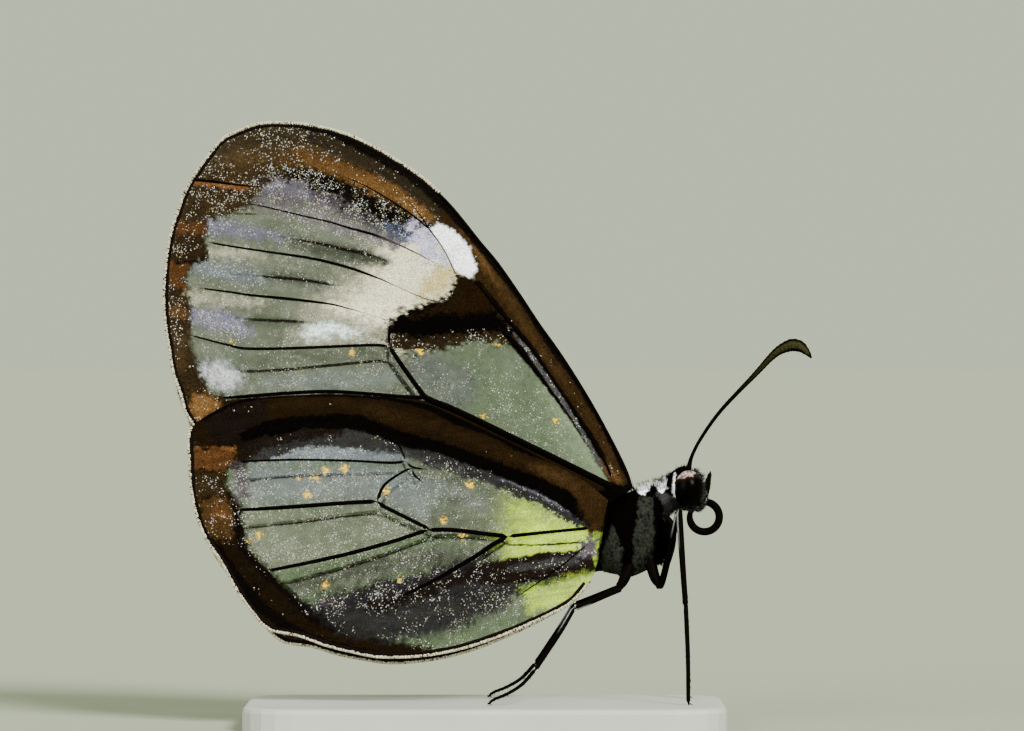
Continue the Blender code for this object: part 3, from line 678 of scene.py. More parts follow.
          (490, 447, 6), (520, 460, 6)]),
        ("umber", 1.45, 1.0, 0.08, 12, 3, [(530, 465, 3), (550, 472, 6), (580, 490, 8)]),
        ("black", 2.2, 1.0, 0.1, 12, 5,
         [(216, 410), (242, 400), (262, 404), (268, 424), (250, 446), (232, 452), (216, 440),
          (206, 424)]),
        ("black", 0.45, 1.0, 0.02, 3.5, 2,
         [(246, 436, 5), (262, 430, 6), (280, 427, 7.5), (310, 422, 6), (350, 422, 7.2),
          (375, 428, 6.5), (400, 438, 6.2), (430, 444.5, 6), (460, 454.5, 5.8), (490, 465.5, 6),
          (520, 477.5, 6), (550, 490, 7), (580, 510, 7.5), (602, 522, 9)]),
        ("black", 0.5, 1.0, 0.0, 2.5, 1,
         [(205, 418, 2), (225, 407, 2), (242, 400, 2), (280, 395, 1.8), (310, 394, 1.8),
          (350, 394, 2.4), (400, 399.5, 2.4), (430, 405, 5.5), (460, 419, 6), (490, 431.5, 3.8),
          (520, 445.5, 5), (550, 458.5, 3), (580, 474, 2.4), (604, 486, 2.4)]),
        ("umber", 0.34, 0.99, 0.12, 5, 4,
         [(176, 436), (205, 442), (232, 444), (240, 447), (236, 458), (226, 472), (226, 488),
          (238, 499), (241, 518), (243, 532), (249, 548), (262, 563), (278, 580), (298, 600),
          (318, 616), (350, 628), (385, 640), (430, 648), (440, 680), (300, 680), (180, 600)]),
        ("rust", 0.9, 0.99, 0.3, 4, 5,
         [(186, 449), (235, 448), (236, 456), (232, 466), (224, 472), (188, 468)]),
        ("rust", 1.6, 0.99, 0.3, 2, 2, [(196, 448, 1), (214, 447, 1.2), (234, 449, 1)]),
        ("brown", 0.55, 0.99, 0.4, 8, 5, [(186, 472), (224, 474), (225, 494), (190, 496)]),
        ("bronze", 0.55, 0.99, 0.4, 8, 7,
         [(196, 500), (222, 497), (236, 503), (236, 532), (224, 540), (204, 534)]),
        ("rust", 1.1, 0.99, 0.4, 8, 6, [(210, 506), (228, 502), (231, 516), (214, 520)]),
        ("brown", 0.2, 0.99, 0.08, 8, 5,
         [(234, 548, 4), (256, 576, 5), (284, 604, 6), (304, 618, 5)]),
        ("black", 1.2, 0.99, 0.2, 4, 3,
         [(233, 500, 1.5), (238, 520, 2.5), (245, 549, 2.5), (262, 570, 2), (276, 582, 2),
          (297, 602, 3), (316, 616, 6), (345, 623, 9), (372, 630, 5)]),
        ("black", 0.8, 1.0, 0.05, 3, 2,
         [(200, 530, 1), (218, 550, 4.5), (240, 581, 5), (259, 603, 5), (281, 621, 5),
          (300, 632, 4), (318, 640, 4), (345, 648, 3.5), (380, 655, 3)]),
        ("violet", 0.8, 0.85, 0.8, 9, 7,
         [(234, 468), (243, 466), (248, 478), (248, 496), (240, 500), (234, 486)]),
        ("smoke", 0.6, 0.93, 0.4, 16, 8,
         [(318, 612), (345, 600), (380, 590), (440, 576), (500, 570), (520, 588), (505, 606),
          (470, 622), (430, 634), (390, 640), (345, 634)]),
        ("smoke", 0.85, 0.95, 0.35, 14, 8, [(372, 622, 5), (410, 616, 6), (450, 604, 5)]),
        ("violet", 0.15, 0.96, 0.7, 6, 6,
         [(308, 606), (322, 599), (345, 593), (372, 586), (400, 578), (430, 571), (470, 561),
          (480, 566), (450, 576), (420, 588), (395, 598), (360, 608), (325, 614)]),
        ("violet", 0.48, 0.96, 0.65, 8, 7, [(314, 606, 1.5), (326, 603, 3), (336, 601, 1.5)]),
        ("black", 3.0, 0.98, 0.4, 8, 5,
         [(372, 606, 3), (400, 599, 4), (430, 588, 5), (460, 577, 5), (490, 570, 6)]),
        ("black", 3.2, 0.98, 0.3, 2.5, 1.5,
         [(476, 565), (490, 562), (520, 557), (552, 551), (566, 552), (590, 548), (596, 570),
          (560, 576), (520, 582), (480, 584)]),
        ("smoke", 1.3, 0.97, 0.4, 8, 3, [(510, 568, 2), (540, 564, 4), (575, 560, 4)]),
        ("black", 1.5, 0.97, 0.0, 1.2, 0.6,
         [(508, 544.5, 0.7), (540, 544.5, 0.7), (580, 542, 0.8)]),
        ("pale", 1.1, 0.7, 0.4, 14, 5,
         [(522, 590), (552, 584), (575, 577), (594, 574), (588, 590), (560, 606), (530, 612)]),
        ("violet", 0.9, 0.9, 0.6, 6, 6,
         [(578, 548), (588, 536), (596, 542), (594, 558), (580, 558)]),
        ("umber", 0.95, 1.0, 0.1, 8, 4,
         [(584, 478), (612, 488), (610, 530), (592, 533), (586, 520), (578, 503)]),
        ("black", 0.5, 1.0, 0.0, 6, 3,
         [(612, 478), (640, 478), (640, 560), (598, 560), (604, 530), (611, 512), (613, 494)]),
        ("brown", 0.6, 0.95, 0.5, 5, 4, [(190, 440, 2), (191, 470, 2.5), (196, 500, 2)]),
    ],
}
# Yellow grains on a wing: chart x, y and radius.
POLLEN_COLOUR = (0.8, 0.5, 0.04)
POLLEN = {
    "fore": [(555, 420, 3), (484, 417, 2.2), (420, 352, 2.5), (497, 345, 2), (284, 262, 2),
             (232, 342, 2), (352, 352, 2), (476, 434, 2)],
    "hind": [(443, 520, 4), (470, 485, 4), (463, 536, 3), (326, 470, 3), (345, 468, 3),
             (315, 478, 3.5), (298, 478, 2), (308, 494, 3.5), (260, 535, 3.5), (325, 585, 2.5),
             (386, 492, 4), (250, 540, 2), (398, 580, 2)],
}


def paint_wing(points, wing):
    """Colour, cover and dust of chart points: each coat lies over those before it.

    Colours mix by their share of the cover, and darker coats show sooner than they cover.
    """
    cover = np.full(len(points), settings().membrane_cover)
    tint = np.tile(shade("membrane"), (len(points), 1))
    dust = np.full(len(points), 0.4 if wing == "fore" else 0.5)
    for k, (name, gain, amount, specks, soft, rough, shape) in enumerate(COATS[wing]):
        mask = coat_mask(points, shape, soft, rough, 3 * k + 1)
        scales = shade(name, gain)
        cover += (amount - cover) * mask
        weight = mask * amount / cover
        darker = tint.mean(1) > scales.mean()
        weight = np.where(darker, np.maximum(weight, 1 - (1 - mask) ** 3), weight)
        tint += (scales - tint) * weight[:, None]
        dust += (specks - dust) * mask
    slope = 0.13 if wing == "fore" else -0.14
    lengthwise = np.stack([points[:, 0] / 9.0, points[:, 1] - slope * points[:, 0]], axis=1)
    streak = 0.16 * ripple(lengthwise, 3.0, 86) + 0.1 * ripple(lengthwise, 1.5, 87)
    streak *= np.clip((430 - points[:, 0]) / 40, 0.3, 1) if wing == "fore" else 1.0
    blotch = 1 + 0.1 * ripple(points, 15.0, 80) + 0.12 * ripple(points, 5.0, 81) + streak
    tint *= blotch[:, None]
    bare = np.clip((0.9 - cover) / 0.2, 0, 1)
    cover *= 1 + bare * (0.08 * ripple(points, 19.0, 82) + 0.1 * ripple(points, 4.0, 83) + streak)
    dust *= np.clip(0.9 + 0.7 * ripple(points, 24.0, 84) + 1.1 * ripple(points, 6.0, 85), 0, 2.4)
    for k, (x, y, size) in enumerate(POLLEN[wing]):
        into = size - np.linalg.norm(points - (x, y), axis=1) + 3.4 * ripple(points, 1.5, 200 + k)
        mask = np.clip(into / 1.5, 0, 1)
        tint += (np.array(POLLEN_COLOUR) - tint) * mask[:, None]
        cover += (0.97 - cover) * mask
    return tint, np.clip(cover, 0, 1), np.clip(dust, 0, 1.3)


# Where the fringe grows.
MARGIN = {
    "fore": [(192.5, 425), (184.5, 412), (179.5, 393), (172, 372), (168.5, 350), (165, 330),
             (162.5, 300), (165, 260), (170.5, 230), (177, 210), (184.5, 190), (197, 169),
             (219, 140.5), (236, 130.8), (258, 123), (283, 121.6), (311, 124.2), (347, 133.3),
             (383, 151), (419, 174), (440, 192)],
    "hind": [(192, 427), (189.5, 432), (188.5, 447), (189.5, 460), (191.5, 490), (197.5, 517),
             (206.5, 539), (221.5, 562), (236, 588), (252, 611), (270, 629), (300, 636),
             (325, 645), (348, 651), (380, 657), (420, 656), (460, 649), (500, 636),
             (540, 619), (570, 603), (588, 584)],
}

# Each vein is rows of chart x, y and half width, from its root outwards.
VEINS = {
    "fore": [
        [(632, 488, 1.6), (618, 455, 1.8), (598, 416, 1.8), (578, 383, 1.8), (558, 352, 1.8),
         (538, 324, 1.8), (517.5, 293, 1.8), (496.5, 263, 1.8), (479, 242, 1.8), (448, 204, 1.6),
         (430, 187, 1.3)],
        [(585, 442, 0.5), (572, 420, 0.9), (554, 395, 1.2), (536, 370, 1.9), (516.5, 345, 2.6),
         (500, 328, 2.4)],
        [(612, 479, 1.4), (606.5, 465, 1.6), (595.5, 445, 1.8), (580, 420, 1.6),
         (563.5, 395, 1.3), (546.5, 370, 1.4), (529, 345, 1.7), (512, 325, 1.8),
         (498, 309, 1.8), (480, 287, 1.6), (472, 279, 1.4)],
        [(615, 489, 4), (600, 481, 3.6), (560, 461, 3.4), (520, 441.5, 3.4), (480, 422, 3.4),
         (450, 408, 3.4), (427, 398.5, 3.2), (418, 388, 2.6), (400, 363, 2.4), (389, 346, 2.2)],
        [(389, 346, 1.9), (389, 334, 1.6), (390, 322, 1.3)],
        [(455, 273, 0.8), (432, 261, 0.8), (402, 246, 1.2), (375, 235, 1.5), (350, 228, 1.3),
         (330, 222, 1.2), (300, 215, 1.0), (262, 206, 0.9), (243, 203, 0.6)],
        [(190, 179.5, 1.6), (210, 181, 1.6), (240, 185, 1.2), (264, 187, 0.7)],
        [(457, 277, 1.1), (444, 250, 1.0), (430, 230, 1.1), (412, 205, 0.8), (385, 182, 0.6),
         (355, 165, 0.4)],
        [(430, 230, 1.1), (415, 217, 1.2), (390, 200, 1.1), (360, 183, 0.9), (330, 172, 0.7),
         (300, 160, 0.4)],
        [(447, 303, 1.2), (428, 299.5, 1.0), (400, 288, 0.8), (385, 281, 1.0), (362, 272, 1.5),
         (340, 265, 1.6), (310, 258, 1.5), (270, 252, 1.3), (230, 246, 1.2), (208, 242, 0.9)],
        [(390, 322, 1.0), (380, 318, 0.8), (365, 313, 0.8), (350, 309, 0.9), (330, 304, 1.3),
         (290, 299, 1.6), (250, 295, 1.4), (230, 292, 1.2), (200, 288, 0.9)],
        [(389, 346, 1.7), (370, 345, 1.6), (320, 347, 1.6), (280, 348.5, 1.6), (245, 348.5, 1.5),
         (228, 345, 1.3), (208, 340, 1.1), (190, 335, 0.9)],
        [(427, 398, 2.2), (400, 396.5, 1.9), (370, 394, 1.9), (330, 391.5, 1.9),
         (290, 393, 1.9), (250, 396, 1.9), (220, 398, 1.3)],
    ],
    "hind": [
        [(406, 461, 1.1), (390, 462.5, 1.1), (350, 460.5, 1.0), (300, 459.5, 1.0),
         (260, 460.5, 1.0), (238, 462, 0.8)],
        [(406, 461, 1.0), (403, 453, 0.9), (398, 443, 0.9), (390, 435, 0.9), (380, 431, 0.8)],
        [(406, 461, 1.0), (413, 467, 0.9), (427, 469, 0.6)],
        [(413, 467, 0.9), (414, 474, 0.9), (424, 483, 0.7)],
        [(413, 468, 0.9), (404, 471, 1.0), (390, 480, 1.1), (383, 487, 1.2), (377, 501, 1.5)],
        [(377, 501, 1.7), (340, 503, 1.6), (300, 506, 1.6), (260, 508.5, 1.4),
         (238, 509.5, 1.1)],
        [(377, 501, 1.7), (386, 507, 1.5), (400, 514, 1.5), (420, 524, 1.5), (430, 529, 1.7)],
        [(428, 529.5, 1.7), (450, 529.5, 1.7), (470, 531.5, 1.7), (490, 534, 1.7),
         (508, 536, 1.9)],
        [(508, 536, 1.6), (540, 532.5, 1.4), (560, 530.5, 1.3), (590, 527.5, 1.4)],
        [(428, 529.5, 1.7), (410, 535.5, 1.6), (390, 542, 1.6), (350, 553, 1.6), (310, 562, 1.5),
         (268, 570.5, 1.3)],
        [(508, 536, 1.9), (493, 544, 1.8), (480, 553, 1.8), (460, 565, 1.7), (443, 575, 1.6),
         (426, 584, 1.4), (400, 596, 1.1)],
        [(588, 544, 0.8), (575, 554, 0.8), (562, 565, 0.8), (535, 584, 0.7), (517, 596, 0.6)],
    ],
}


def wing_place(points, wing, side):
    """Chart points to the wing's middle sheet in millimetres.

    Out from the mid plane is far + extra * exp(-(r / reach) ** 2) with a faint pleat; the left
    wing is turned about its hinge and scaled.
    """
    hinge = np.array(HINGE[wing])
    far, extra, reach = LAYER[wing]
    flat = from_chart(points) - hinge
    r = np.linalg.norm(flat, axis=-1)
    pleat = 0.04 * np.sin(points[..., 1] / 21.0 + points[..., 0] / 75.0) * np.clip(r / 6, 0, 1)
    out = side * (far + extra * np.exp(-(r / reach) ** 2) + pleat)
    if side == LEFT:
        c = math.cos(LEFT_TURN) * LEFT_SCALE[wing]
        s = math.sin(LEFT_TURN) * LEFT_SCALE[wing]
        flat = np.stack([flat[..., 0] * c - flat[..., 1] * s,
                         flat[..., 0] * s + flat[..., 1] * c], axis=-1)
    placed = flat + hinge
    return np.stack([placed[..., 0], out, placed[..., 1]], axis=-1)


def side_word(side):
    """The word for a side in a piece's name."""
    return "right" if side == RIGHT else "left"


# Faint second lines beside the veins, in the same rows.
FOLDS = {
    "fore": [
        [(300, 239.8, 0.7), (322, 243.7, 1.5), (345, 249.3, 1.7), (365, 253.5, 1.5),
         (384, 259.4, 0.6)],
        [(263, 276, 0.7), (286, 278.1, 1.2), (311, 280.9, 1.2), (329, 284.1, 0.5)],
        [(250, 319.3, 0.6), (276, 320.5, 1.1), (303, 322, 0.6)],
        [(240, 371.1, 0.7), (262, 371.1, 0.8), (290, 369.1, 0.8), (330, 365.4, 0.8),
         (362, 362.4, 0.8), (386.5, 361.8, 0.8), (401, 380.2, 1.0), (416, 399.1, 1.1)],
    ],
    "hind": [
        [(248, 480.9, 0.4), (300, 476.3, 0.6), (380, 474.7, 0.4)],
        [(245, 528.3, 0.7), (300, 522.3, 0.9), (360, 515, 0.9), (383, 515.7, 0.9),
         (400, 523.7, 0.8), (419, 532.2, 0.7)],
        [(289, 583.6, 0.7), (329, 573, 0.9), (379, 557.7, 0.9), (417, 543.8, 0.8),
         (440, 537.9, 0.7)],
        [(425, 534.4, 0.7), (440, 537.9, 0.8), (470, 538.2, 0.9), (507, 542.3, 0.9)],
        [(507, 542.3, 0.9), (483.3, 558.6, 0.9)],
    ],
}


def membranes(wing, looks):
    """The right and left membrane, thin closed sheets.

    Chart points run from the leading to the trailing curve at each share of their length, once
    on the outer face and back, further apart, on the inner one. The left sheet's painting lies
    level with the right one's, so that both dark patterns meet through the clear cells. Light
    crosses both faces, so each hides the share that makes the wanted cover of the two.
    """
    rings, outer, inner = SHEET_GRID[wing]
    a, b = (even_curve(edge, rings)[:, None] for edge in EDGES[wing])
    share = np.concatenate([np.linspace(0, 1, outer), np.linspace(1, 0, inner)])
    chart = a + (b - a) * share[None, :, None]
    face = np.where(np.arange(outer + inner) < outer, 1.0, -1.0)
    half = settings().membrane_thickness / MM / 2
    made = []
    for side in (RIGHT, LEFT):
        rows = wing_place(chart, wing, side)
        seen = to_chart(rows[..., 0], rows[..., 2]).reshape(-1, 2)
        tint, cover, dust = paint_wing(seen, wing)
        for k, line in enumerate(FOLDS[wing]):
            folded = coat_mask(seen, line, 1.3, 0.6, 300 + 3 * k)
            if side == RIGHT:
                cover += (0.9 - cover) * folded
            tint += (shade("black", 3.0) - tint) * np.clip(folded * 3, 0, 1)[:, None]
        one_face = 1 - np.sqrt(1 - cover)
        rows[..., 1] += side * half * face
        points, faces = join_sweeps([rows[:, ::-side]])
        piece = new_piece(f"{wing}wing_{side_word(side)}_membrane", points, faces, looks)
        order = np.arange(len(points)).reshape(rings, -1)[:, ::-side].ravel()
        set_colours(piece, tint[order], one_face[order])
        set_values(piece, dust[order], "dust")
        made.append(piece)
    return made


def vein_ridges(wing, side, looks):
    """Oval ridges along each vein, sunk in the membrane and standing out of both faces.

    The two behind the left leading edge move out by the wing's own shift.
    """
    sweeps, colours = [], []
    scale = settings().vein_width * (1.0 if wing == "fore" else 1.35)
    for k, rows in enumerate(VEINS[wing]):
        length = np.linalg.norm(np.diff(np.array(rows)[:, :2], axis=0), axis=1).sum()
        path = even_curve(rows, max(8, int(length / 2.5)))
        if wing == "fore" and side == LEFT and k in (1, 2):
            there = wing_place(path[:, :2], wing, side)
            path[:, :2] = 2 * path[:, :2] - to_chart(there[:, 0], there[:, 2])
        centre = wing_place(path[:, :2], wing, side)
        ends = np.minimum(np.arange(len(path)), np.arange(len(path))[::-1])
        radius = path[:, 2] * CHART_STEP * scale * np.clip(ends / 2.0, 0.25, 1)
        sweeps.append(tube(centre, radius, VEIN_SIDES, flat=0.55))
        tint = np.tile(shade("black", 0.6), (len(path), 1))
        if wing == "fore":
            x, y = path[:, 0], path[:, 1]
            cloud = (np.clip((x - 372) / 25, 0, 1) * np.clip((310 - y) / 10, 0, 1)
                     * np.clip((y - 230) / 8, 0, 1) * (x < 457))
            tint += (shade("smoke", 1.7) - tint) * cloud[:, None]
        colours.append(np.repeat(tint, VEIN_SIDES, axis=0))
    points, faces = join_sweeps(sweeps)
    piece = new_piece(f"{wing}wing_{side_word(side)}_veins", points, faces, looks)
    set_colours(piece, np.vstack(colours))
    return piece


def fringe(wing, side, looks):
    """A black bead along the margin and rows of pale, pointed fringe scales beyond it."""
    seed, count, middle = FRINGE[wing]
    rng = np.random.default_rng(seed)
    length = settings().fringe_length / MM / CHART_STEP
    margin = even_curve(MARGIN[wing], 1500)
    along = np.gradient(margin, axis=0)
    along /= np.linalg.norm(along, axis=1)[:, None]
    outward = np.stack([-along[:, 1], along[:, 0]], axis=1)
    if ((margin - middle) * outward).sum() < 0:
        outward = -outward
    centre = wing_place(margin[::4] - outward[::4] * 3.5, wing, side)
    wave = 1 + 0.25 * ripple(margin[::4], 9.0, 55)
    points, faces = join_sweeps([tube(centre, FRINGE_BEAD * wave, 8, flat=0.5)])
    tint = np.tile(shade("black", 1.6), (len(points), 1))
    pick = rng.integers(0, len(margin), count)
    root = margin[pick] - outward[pick] * rng.uniform(0.7, 2.3, count)[:, None]
    way = outward[pick] + along[pick] * rng.normal(0, 0.45, count)[:, None]
    way /= np.linalg.norm(way, axis=1)[:, None]
    span = length * rng.uniform(0.55, 1.0, count)[:, None]
    wide = rng.uniform(0.45, 0.8, count)[:, None]
    cross = np.stack([-way[:, 1], way[:, 0]], axis=1)
    reach = ((root + way * span - margin[pick]) * outward[pick]).sum(1)
    span -= np.maximum(reach - FRINGE_REACH, 0)[:, None]
    blade = np.stack([root - cross * wide * 0.6, root + way * span * 0.6 - cross * wide,
                      root + way * span, root + way * span * 0.6 + cross * wide,
                      root + cross * wide * 0.6], axis=1)
    flat = wing_place(blade.reshape(-1, 2), wing, side).reshape(count, 5, 3)
    flat[..., 1] += rng.uniform(-0.06, 0.06, count)[:, None] + (0, 0.01, 0.02, 0.01, 0)
    scales = np.concatenate([flat, flat + (0, 0.012, 0)], axis=1).reshape(-1, 3)
    front = np.array([[0, 1, 2], [0, 2, 4], [2, 3, 4]])
    rim = np.array([[0, 5, 1], [1, 5, 6], [1, 6, 2], [2, 6, 7], [2, 7, 3], [3, 7, 8], [3, 8, 4],
                    [4, 8, 9], [4, 9, 0], [0, 9, 5]])
    blade_faces = np.vstack([front, front[:, ::-1] + 5, rim])
    tris = (len(points) + np.arange(count)[:, None, None] * 10 + blade_faces).reshape(-1, 3)
    pale = np.where(rng.random(count)[:, None] < 0.1, shade("brown", 1.2), shade("fringe"))
    pale = pale * rng.uniform(0.6, 1.4, count)[:, None]
    points = np.vstack([points, scales])
    piece = new_piece(f"{wing}wing_{side_word(side)}_fringe", points, [*faces, tris], looks)
    set_colours(piece, np.vstack([tint, np.repeat(pale, 10, axis=0)]))
    return piece


# Body: along, up, half width and half depth.
BODY = [
    (-5.6, 4.25, 0.08, 0.1), (-5.3, 4.33, 0.3, 0.36), (-4.9, 4.45, 0.42, 0.5),
    (-4.2, 4.68, 0.54, 0.68), (-2.75, 5.1, 0.68, 0.86), (-0.75, 5.55, 0.62, 0.8),
    (1.75, 5.92, 0.52, 0.66), (4.0, 6.3, 0.43, 0.52), (5.2, 6.68, 0.42, 0.52),
    (5.65, 6.9, 0.62, 0.78), (6.05, 7.12, 0.93, 1.22), (6.6, 7.47, 1.22, 1.77),
    (7.3, 8.2, 1.38, 2.03), (7.95, 9.05, 1.28, 1.58), (8.5, 9.68, 0.88, 1.0),
    (8.95, 9.92, 0.48, 0.58), (9.3, 10.12, 0.44, 0.55), (9.6, 10.3, 0.78, 0.89),
    (10.0, 10.4, 0.86, 1.1), (10.4, 10.41, 0.82, 1.06), (10.7, 10.43, 0.6, 0.78),
    (10.86, 10.45, 0.27, 0.35),
]
TAIL, WAIST = -5.6, 5.3
ABDOMEN_RINGS = 8


def body_surface(share, turn):
    """Points of the body at shares of its length and turns round it, with normals and tangents.

    A point is path + wide * sin(turn) sideways + deep * cos(turn) up, across the path, with the
    abdomen's rings as shallow waves of its radius.
    """
    rows = even_curve(BODY, CURVE_STEPS)
    step = np.gradient(rows[:, :2], axis=0)
    at = np.arange(CURVE_STEPS)
    x, z, wide, deep, tx, tz = (np.interp(share * at[-1], at, column)
                                for column in (*rows.T, *step.T))
    size = np.hypot(tx, tz)
    tx, tz = tx / size, tz / size
    ring = 0.5 + 0.5 * np.cos(math.tau * ABDOMEN_RINGS * (x - TAIL) / 11.0)
    dent = 1 - 0.045 * ring**6 * (x < 5.2)
    out = np.sin(turn) * wide * dent
    up = np.cos(turn) * deep * dent
    points = np.stack([x - tz * up, out, z + SOLE + tx * up], axis=-1)
    normal = np.stack([-tz * np.cos(turn) / deep, np.sin(turn) / wide, tx * np.cos(turn) / deep],
                      axis=-1)
    normal /= np.linalg.norm(normal, axis=-1)[..., None]
    return points, normal, np.stack([tx, np.zeros_like(tx), tz], axis=-1)


# Marks on the body: colour, gain, softness and roughness of the edge, outline or stroke.
BODY_MARKS = [
    ("moss", 1.15, 1.4, 2.6,
     [(639, 497), (652, 497), (654, 515), (654, 545), (653, 580), (634, 580), (633, 545),
      (636, 520)]),
    ("moss", 1.3, 1.4, 2.6,
     [(612, 526), (618, 534), (622, 550), (622, 580), (600, 580), (603, 550), (608, 534)]),
    ("smoke", 0.9, 3.0, 3.0, [(659, 492, 2), (665, 502, 3), (669, 514, 2.5), (668, 530, 1.2)]),
    ("smoke", 1.0, 3.0, 3.0, [(667, 497, 3), (675, 503, 4), (685, 509, 4)]),
    ("white", 0.97, 1.5, 1.5,
     [(634, 462), (649, 462), (650, 488), (645, 495), (638, 494), (635, 486)]),
    ("white", 0.9, 1.5, 2.0,
     [(655, 474), (660, 474), (666, 483), (668, 488), (662, 492), (657, 489)]),
    ("white", 0.8, 1.0, 1.5,
     [(675.6, 474, 0.7), (674, 482, 0.9), (674.2, 491, 0.9), (676.6, 500, 0.8)]),
    ("white", 0.35, 1.5, 2.5, [(693, 469, 0.7), (699, 473, 0.9), (704, 480, 0.8)]),
    ("moss", 1.7, 3.0, 3.0,
     [(682, 511, 4), (692, 514, 5), (701, 508, 4), (705, 498, 4), (705, 488, 3)]),
]


def paint_body(points):
    """Colour of points of the body: black, a grey abdomen with a pale belly, and the marks."""
    chart = to_chart(points[:, 0], points[:, 2])
    tint = np.tile(shade("black", 0.35), (len(points), 1))
    abdomen = points[:, 0] < WAIST
    tint[abdomen] = shade("smoke", 0.6)
    low = np.interp(points[:, 0], [TAIL, WAIST], [4.0, 6.3]) + SOLE
    belly = np.clip((low - points[:, 2]) / 0.4, 0, 1) * abdomen
    tint += (shade("pale", 0.4) - tint) * belly[:, None]
    for k, (name, gain, soft, rough, shape) in enumerate(BODY_MARKS):
        mask = coat_mask(chart, shape, soft, rough, 40 + 3 * k)
        spots = np.clip(1.1 + 1.1 * ripple(chart, 2.2, 90 + k), 0.1, 1) if k < 2 else 1.0
        tint += (shade(name, gain) - tint) * (mask * spots)[:, None]
    return tint


# Painted reflection of the sky on each eye's top: a dark red-brown fade, then a pale pink crescent
# over it.
EYE_REFLECTION_MARKS = [
    ("rust", 0.13, 2.5, 1.0, [(672, 484.5), (698, 477), (702, 470), (696, 462), (672, 462)]),
    ("eye_sky_reflection", 1.7, 1.2, 1.5, [(672, 480.5), (696, 474.5), (698, 464), (672, 464)]),
]
# The eye's middle, along and up, and its half sizes.
EYE = (10.2, 10.4 + SOLE)
EYE_SIZE = (0.73, 0.945)
# Patches of hair: count, share of the body from and to, middle turn and half its range. They
# are abdomen, all the rest, collar, head, face, chest and neck.
COLLAR, FACE, CHEST, NECK = 2, 4, 5, 6
HAIR_PATCHES = [
    (3800, 0.03, 0.62, 0.0, math.pi), (6800, 0.62, 0.985, 0.0, math.pi),
    (9000, 0.81, 0.93, 0.0, 1.0), (7000, 0.87, 0.998, 0.0, math.pi),
    (9000, 0.95, 0.998, 0.0, math.pi), (7000, 0.68, 0.9, math.pi, 0.9),
    (9000, 0.8, 0.95, math.pi, 1.0),
]


def body_skin(looks):
    """One closed skin from the tail to the face."""
    share = np.repeat(np.linspace(0, 1, SKIN_RINGS), SKIN_SIDES)
    turn = np.tile(np.linspace(0, math.tau, SKIN_SIDES, endpoint=False), SKIN_RINGS)
    points, _, _ = body_surface(share, turn)
    points, faces = join_sweeps([points.reshape(SKIN_RINGS, SKIN_SIDES, 3)])
    piece = new_piece("body_skin", points, faces, looks)
    set_colours(piece, paint_body(points))
    return piece


def hair_blades(name, roots, lie, normal, length, width, colours, uv, looks, seed):
    """Tapered three-sided hairs: root + way * t, sagging by a share of t squared, at t 0, 0.55, 1.

    Each hair's patch of the bake map lies at its root's place on the unwrapped skin.
    """
    rng = np.random.default_rng(seed)
    count = len(roots)
    length = length[:, None]
    side = np.cross(lie, normal)
    side /= np.maximum(np.linalg.norm(side, axis=1), 1e-6)[:, None]
    way = lie + side * rng.normal(0, 0.22, (count, 1))
    way = way + normal * rng.uniform(0.15, 0.5, (count, 1))
    way /= np.linalg.norm(way, axis=1)[:, None]
    up = np.cross(side, way)
    rings = []
    for t, w in ((0.0, 1.0), (0.55, 0.7)):
        middle = roots + way * length * t - normal * (0.12 * length * t * t)
        for turn in (0, math.tau / 3, 2 * math.tau / 3):
            rings.append(middle + (side * math.cos(turn) + up * math.sin(turn)) * width * w)
    tip = roots + way * length - normal * (0.12 * length)
    points = np.stack(rings + [tip], axis=1).reshape(-1, 3)
    local = np.array([[0, 3, 1], [1, 3, 4], [1, 4, 2], [2, 4, 5], [2, 5, 0], [0, 5, 3],
                      [3, 6, 4], [4, 6, 5], [5, 6, 3], [0, 1, 2]])[:, ::-1]
    faces = (np.arange(count)[:, None, None] * 7 + local[None]).reshape(-1, 3)
    piece = new_piece(name, points, faces, looks)
    set_colours(piece, np.repeat(colours, 7, axis=0))
    patch = np.array([[0, 0], [0.003, 0], [0.0015, 0.001], [0, 0.002], [0.003, 0.002],
                      [0.0015, 0.002], [0.0015, 0.003]])
    place = (uv[:, None] * 0.99 + patch[None]).reshape(-1, 2)
    layer = piece.data.uv_layers.new(name="OFBake")
    corners = np.empty(len(piece.data.loops), np.int32)
    piece.data.loops.foreach_get("vertex_index", corners)
    layer.data.foreach_set("uv", place[corners].astype(np.float32).ravel())
    return piece


